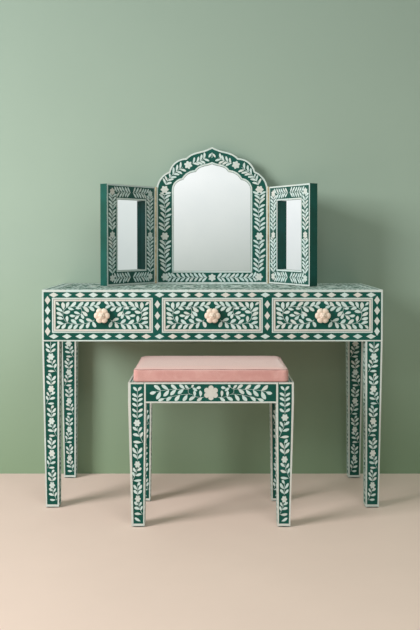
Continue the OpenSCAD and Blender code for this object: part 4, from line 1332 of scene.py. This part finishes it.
def make_cushion():
    lo, hi = box_mm("stool_cushion")
    cx, cy = (lo[0] + hi[0]) / 2, (lo[1] + hi[1]) / 2
    hx, hy = (hi[0] - lo[0]) / 2 + 0.5, (hi[1] - lo[1]) / 2
    z0, z1 = lo[2], hi[2]
    seam = z1 - 9.5
    loops = []
    # side band, then the shoulder, then the top in shrinking rings
    prof = [(0.6, z0), (0.2, z0 + 2), (0.0, z0 + 10), (0.0, z0 + 20), (0.0, z0 + 28), (0.0, seam - 2.5), (0.4, seam),
            (1.6, seam + 0.7), (6.0, seam + 1.4), (12, seam + 2.2), (22, seam + 3.2), (36, seam + 4.2)]
    for inset, z in prof:
        loops.append([(x, y, z) for x, y in rounded_loop(hx - inset, hy - inset, 19 - min(inset, 6))])
    n = len(loops[0])
    edge = loops[-1]
    ax, ay = hx - 36.0, hy - 36.0
    for k in range(1, 9):
        t = k / 9.0
        ring = []
        for x, y, z in edge:
            fx, fy = x / ax, y / ay
            q = 1.0 - t
            ring.append((x * q, y * q if abs(y) > 1 else y, seam + 4.2 + 1.8 * t))
        loops.append(ring)
    verts = [((cx + x) * MM, (cy + y) * MM, z * MM) for ring in loops for x, y, z in ring]
    faces = []
    for k in range(len(loops) - 1):
        faces += [(k * n + i, k * n + (i + 1) % n, (k + 1) * n + (i + 1) % n, (k + 1) * n + i) for i in range(n)]
    faces.append(tuple(range((len(loops) - 1) * n, len(loops) * n)))
    faces.append(tuple(range(n - 1, -1, -1)))
    mesh = bpy.data.meshes.new("seat_cushion")
    mesh.from_pydata(verts, [], faces)
    mesh.update()
    obj = bpy.data.objects.new("seat_cushion", mesh)
    bpy.context.scene.collection.objects.link(obj)
    bpy.context.view_layer.objects.active = obj
    rest_top = z1
    # voxel remesh, then a short cloth run under pressure
    rm = obj.modifiers.new("remesh", "REMESH")
    rm.mode = "VOXEL"
    rm.voxel_size = 0.005
    dg = bpy.context.evaluated_depsgraph_get()
    m2 = bpy.data.meshes.new_from_object(obj.evaluated_get(dg))
    obj.modifiers.clear()
    obj.data = m2
    start = np.array([v.co for v in m2.vertices], float)
    pins = obj.vertex_groups.new(name="pin")
    base = z0 * MM
    for i, v in enumerate(m2.vertices):
        h = (v.co.z - base) / MM
        w = 1.0 if h < 3.0 else max(0.0, 1.0 - (h - 3.0) / 8.0)
        if w > 0:
            pins.add([i], w, "REPLACE")
    cl = obj.modifiers.new("cloth", "CLOTH")
    st = cl.settings
    st.quality = 6
    st.mass = 0.3
    st.tension_stiffness = st.compression_stiffness = 12
    st.shear_stiffness = 8
    st.bending_stiffness = 6.0
    st.shrink_min = -0.012
    st.use_pressure = True
    st.uniform_pressure_force = 4.0
    st.effector_weights.gravity = 0.0
    st.vertex_group_mass = "pin"
    cl.collision_settings.use_collision = False
    scene = bpy.context.scene
    for fr in range(1, 21):
        scene.frame_set(fr)
    dg = bpy.context.evaluated_depsgraph_get()
    m3 = bpy.data.meshes.new_from_object(obj.evaluated_get(dg))
    obj.modifiers.clear()
    obj.vertex_groups.clear()
    end = np.array([v.co for v in m3.vertices], float)
    move = end - start
    # the push of the filling, evened out over each point's neighbours
    edges = np.array([e.vertices[:] for e in m3.edges])
    for _ in range(14):
        acc, cnt = move.copy(), np.ones(len(move))
        np.add.at(acc, edges[:, 0], move[edges[:, 1]])
        np.add.at(acc, edges[:, 1], move[edges[:, 0]])
        np.add.at(cnt, edges[:, 0], 1)
        np.add.at(cnt, edges[:, 1], 1)
        move = acc / cnt[:, None]
    dist = np.linalg.norm(move, axis=1)
    cap = 0.005
    k = np.where(dist > cap, cap / np.maximum(dist, 1e-9), 1.0)
    end = start + move * k[:, None] * 0.7
    end[:, 2] = np.maximum(end[:, 2], base + 0.0002)
    m3.vertices.foreach_set("co", end.astype(np.float32).ravel())
    m3.update()
    obj.data = m3
    scene.frame_set(1)
    mesh = obj.data
    # crown and soft dents, by place, the same each run
    co = np.array([v.co for v in mesh.vertices], float)
    X, Y = (co[:, 0] / MM - cx) / hx, (co[:, 1] / MM - cy) / hy
    H = np.clip((co[:, 2] / MM - seam) / (z1 - seam), 0, 1)
    crown = np.clip((1 - X ** 4) * (1 - Y ** 4), 0, 1)
    co[:, 2] += H * crown * 3.0 * MM
    ripple = (np.sin(X * 11 + Y * 3.1) * 0.35 + np.sin(Y * 9.0 - X * 4.3 + 1.3) * 0.35 + np.sin(X * 23 + 0.6) * 0.12)
    co[:, 2] += H * crown * ripple * 0.7 * MM
    mesh.vertices.foreach_set("co", co.astype(np.float32).ravel())
    mesh.materials.clear()
    mesh.materials.append(VELVET)
    mesh.polygons.foreach_set("use_smooth", [True] * len(mesh.polygons))
    mesh.update()
    sub = obj.modifiers.new("soft", "SUBSURF")
    sub.levels = sub.render_levels = 1
    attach(obj, "stool")
    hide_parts("stool_cushion")
    return obj, (cx, cy, hx, hy, z0, z1, seam)


cushion, (CCX, CCY, CHX, CHY, CZ0, CZ1, CSEAM) = make_cushion()


def surface_out(obj, z_mm, pts):
    """Where the cushion's side stands at a height, along each point's direction from the nearest inner spine."""
    dg = bpy.context.evaluated_depsgraph_get()
    ev = obj.evaluated_get(dg)
    out = []
    for x, y in pts:
        sx = max(-CHX + 60, min(CHX - 60, x))
        sy = max(-CHY + 60, min(CHY - 60, y))
        d = Vector((x - sx, y - sy, 0))
        if d.length < 1e-6:
            out.append((x, y)); continue
        d.normalize()
        src = Vector(((CCX + x) * MM, (CCY + y) * MM, z_mm * MM)) + d * 0.05
        hit, loc, nor, idx = ev.ray_cast(src, -d)
        if hit:
            out.append((loc.x / MM - CCX, loc.y / MM - CCY))
        else:
            out.append((x, y))
    return out


def welt(name, z_mm, r, sink):
    """A piped seam that follows the cushion's side at one height."""
    loop = rounded_loop(CHX, CHY, 19, 12, 30)
    pts = surface_out(cushion, z_mm, loop)
    cleaned = []
    n = len(pts)
    for i in range(n):
        xs = [pts[(i + k) % n][0] for k in (-2, -1, 0, 1, 2)]
        ys = [pts[(i + k) % n][1] for k in (-2, -1, 0, 1, 2)]
        cleaned.append((sum(xs) / 5, sum(ys) / 5))
    verts, faces = [], []
    k = 8
    for i in range(n):
        a, b = cleaned[i - 1], cleaned[(i + 1) % n]
        t = Vector((b[0] - a[0], b[1] - a[1], 0)).normalized()
        o = Vector((t.y, -t.x, 0))
        x, y = cleaned[i]
        wob = 0.25 * math.sin(i * 0.9)
        for j in range(k):
            q = 2 * math.pi * j / k
            w = (r + 0.08 * math.sin(i * 1.7)) * math.cos(q) - sink
            verts.append(((CCX + x + o.x * w) * MM, (CCY + y + o.y * w) * MM, (z_mm + wob + r * math.sin(q)) * MM))
    for i in range(n):
        for j in range(k):
            faces.append((i * k + j, ((i + 1) % n) * k + j, ((i + 1) % n) * k + (j + 1) % k, i * k + (j + 1) % k))
    mesh = bpy.data.meshes.new(name)
    mesh.from_pydata(verts, [], faces)
    # painted shade: the piping gets the darker velvet, for the shade along the seam
    mesh.materials.append(VELVET_WELT_PAINTED_SHADE)
    mesh.polygons.foreach_set("use_smooth", [True] * len(mesh.polygons))
    mesh.update()
    obj = bpy.data.objects.new(name, mesh)
    bpy.context.scene.collection.objects.link(obj)
    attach(obj, "stool")
    return obj


welt("cushion_top_welt", CSEAM + 0.3, 1.6, 0.5)


# ---------------------------------------------------------------------------
# floor, backdrop, light, camera
# ---------------------------------------------------------------------------
def plain(name, colour, rough, spread=0.04, scale=2.5):
    m = Nodes(name)
    c = m.mix(m.ramp(m.noise(scale, 4.0, 0.6), 0.3, 0.7), tuple(v * (1 - spread) for v in colour[:3]) + (1.0,), colour)
    return m.done(Base_Color=c, Roughness=rough)


def sheet(name, verts, mat):
    mesh = bpy.data.meshes.new(name)
    mesh.from_pydata(verts, [], [(0, 1, 2, 3)])
    mesh.materials.append(mat)
    obj = bpy.data.objects.new(name, mesh)
    bpy.context.scene.collection.objects.link(obj)
    return obj


WALL_Y = BACK * MM + 0.012
AMB = 0.095
floor = sheet("floor", [(-40, -40, 0), (40, -40, 0), (40, 40, 0), (-40, 40, 0)], plain("floor_paint", lin(244, 217, 205), 0.6))
floor.visible_glossy = False
wm = Nodes("wall_paint")
wgeo = wm.t.nodes.new("ShaderNodeNewGeometry")
wsplit = wm.t.nodes.new("ShaderNodeSeparateXYZ")
wm.link(wgeo.outputs["Position"], wsplit.inputs[0])
wall_colour_painted_shade = wm.mix(wm.ramp(wm.noise(2.5, 4.0, 0.6), 0.3, 0.7), lin(153, 172, 158), lin(156, 175, 161))
# painted shade: the wall is darker toward its top, and darker and greener toward the floor, standing in for how the
# light falls off across it
wall_colour_painted_shade = wm.mix(wm.ramp(wsplit.outputs[2], 1.15, 1.95), wall_colour_painted_shade, lin(140, 158, 146))
wall_colour_painted_shade = wm.mix(wm.ramp(wsplit.outputs[2], 0.90, 0.0), wall_colour_painted_shade, lin(134, 157, 128))
wall_mat = wm.done(Base_Color=wall_colour_painted_shade, Roughness=0.85)
t = wall_mat.node_tree
geo = t.nodes.new("ShaderNodeNewGeometry")
clear = t.nodes.new("ShaderNodeBsdfTransparent")
pick = t.nodes.new("ShaderNodeMixShader")
pbsdf = next(n for n in t.nodes if n.type == "BSDF_PRINCIPLED")
outn = next(n for n in t.nodes if n.type == "OUTPUT_MATERIAL")
t.links.new(geo.outputs["Backfacing"], pick.inputs[0])
t.links.new(pbsdf.outputs[0], pick.inputs[1])
t.links.new(clear.outputs[0], pick.inputs[2])
t.links.new(pick.outputs[0], outn.inputs["Surface"])
wall = sheet("wall", [(-12, WALL_Y, 0), (12, WALL_Y, 0), (12, WALL_Y, 6), (-12, WALL_Y, 6)], wall_mat)
wall.visible_diffuse = False
wall.visible_glossy = False
wall.visible_transmission = False
wall.visible_shadow = False

world = bpy.data.worlds.new("studio")
bpy.context.scene.world = world
world.use_nodes = True
wt = world.node_tree
wt.nodes.clear()


def wnode(kind, **kw):
    n = wt.nodes.new(kind)
    for k, v in kw.items():
        setattr(n, k, v)
    return n


def wmath(op, a, b=0.0, clamp=False):
    n = wnode("ShaderNodeMath", operation=op, use_clamp=clamp)
    for sock, v in zip(n.inputs, (a, b)):
        if isinstance(v, bpy.types.NodeSocket):
            wt.links.new(v, sock)
        else:
            sock.default_value = v
    return n.outputs[0]


def wmix(fac, a, b):
    n = wnode("ShaderNodeMix", data_type="RGBA")
    for sock, v in ((n.inputs[0], fac), (n.inputs[6], a), (n.inputs[7], b)):
        if isinstance(v, bpy.types.NodeSocket):
            wt.links.new(v, sock)
        else:
            sock.default_value = v
    return n.outputs[2]


def wgrade(value, lo, hi, a, b):
    """Colour a at lo, colour b at hi."""
    n = wnode("ShaderNodeMapRange")
    n.inputs["From Min"].default_value, n.inputs["From Max"].default_value = lo, hi
    wt.links.new(value, n.inputs["Value"])
    return wmix(n.outputs[0], a, b)


sep = wnode("ShaderNodeSeparateXYZ")
wt.links.new(wnode("ShaderNodeTexCoord").outputs["Generated"], sep.inputs[0])
wx, wy, wz = sep.outputs
# what lights the room: soft and even, strongest from above and in front
ambient = wgrade(wz, -0.1, 1.0, (AMB * 0.24, AMB * 0.42, AMB * 0.15, 1), (AMB * 2.05, AMB * 2.80, AMB * 1.95, 1))
# what the glasses and the glossy faces show: pale cards in front and at the sides, the sage room behind
front_up = wgrade(wz, -0.040, 0.070, (0.56, 0.60, 0.56, 1), (1.06, 1.07, 1.07, 1))
tint = wnode("ShaderNodeMix", data_type="RGBA", blend_type="MULTIPLY")
tint.inputs[0].default_value = 1.0
wt.links.new(front_up, tint.inputs[6])
wt.links.new(wgrade(wx, -0.06, 0.06, (1.05, 1.05, 1.05, 1), (0.86, 0.88, 0.87, 1)), tint.inputs[7])
front = tint.outputs[2]
side_tint = wnode("ShaderNodeMix", data_type="RGBA", blend_type="MULTIPLY")
side_tint.inputs[0].default_value = 1.0
wt.links.new(wgrade(wx, -0.9, 0.9, (1.01, 1.04, 1.04, 1), (0.83, 0.88, 0.86, 1)), side_tint.inputs[6])
wt.links.new(wgrade(wz, -0.05, 0.06, (0.72, 0.74, 0.73, 1), (1.06, 1.05, 1.06, 1)), side_tint.inputs[7])
sides = side_tint.outputs[2]
behind = wgrade(wz, 0.0, 0.5, (0.26, 0.34, 0.25, 1), (0.40, 0.50, 0.40, 1))
cards = wmix(wgrade(wy, -0.75, -0.65, (1, 1, 1, 1), (0, 0, 0, 1)), sides, front)
cards = wmix(wgrade(wy, 0.60, 0.85, (0, 0, 0, 1), (1, 1, 1, 1)), cards, behind)
path = wnode("ShaderNodeLightPath")
shown = wmix(path.outputs["Is Glossy Ray"], ambient, cards)
shown = wmix(path.outputs["Is Camera Ray"], shown, wgrade(wz, 0.0, 0.6, (0.40, 0.50, 0.40, 1), (0.30, 0.39, 0.31, 1)))
bg = wnode("ShaderNodeBackground")
wt.links.new(shown, bg.inputs[0])
wt.links.new(bg.outputs[0], wnode("ShaderNodeOutputWorld").inputs[0])


def area(name, where, aim, size, size_y, watts, colour=(1, 1, 1)):
    data = bpy.data.lights.new(name, "AREA")
    data.shape = "RECTANGLE"
    data.size, data.size_y = size, size_y
    data.energy = watts
    data.color = colour
    obj = bpy.data.objects.new(name, data)
    obj.location = where
    obj.rotation_mode = "QUATERNION"
    obj.rotation_quaternion = (Vector(aim) - Vector(where)).to_track_quat("-Z", "Y")
    bpy.context.scene.collection.objects.link(obj)
    return obj


area("key", (-3.45, -2.35, 2.3), (0.0, 0.1, 0.6), 1.7, 1.7, 187, (1.0, 1.0, 0.985))
area("fill", (0.5, -3.4, 3.3), (0.0, 0.0, 0.7), 2.6, 2.0, 49, (0.98, 1.0, 0.98))

cam_data = bpy.data.cameras.new("camera")
cam_data.sensor_fit = "AUTO"
cam_data.sensor_width = 36.0
cam_data.lens = 49.93
cam_data.shift_y = -0.09226
cam_data.clip_end = 60
cam = bpy.data.objects.new("camera", cam_data)
cam.location = (-0.0083, -3.1948, 0.9524)
cam.rotation_euler = (math.radians(90) - 0.0200, 0, 0)
bpy.context.scene.collection.objects.link(cam)
bpy.context.scene.camera = cam
bpy.context.scene.view_settings.view_transform = "Standard"
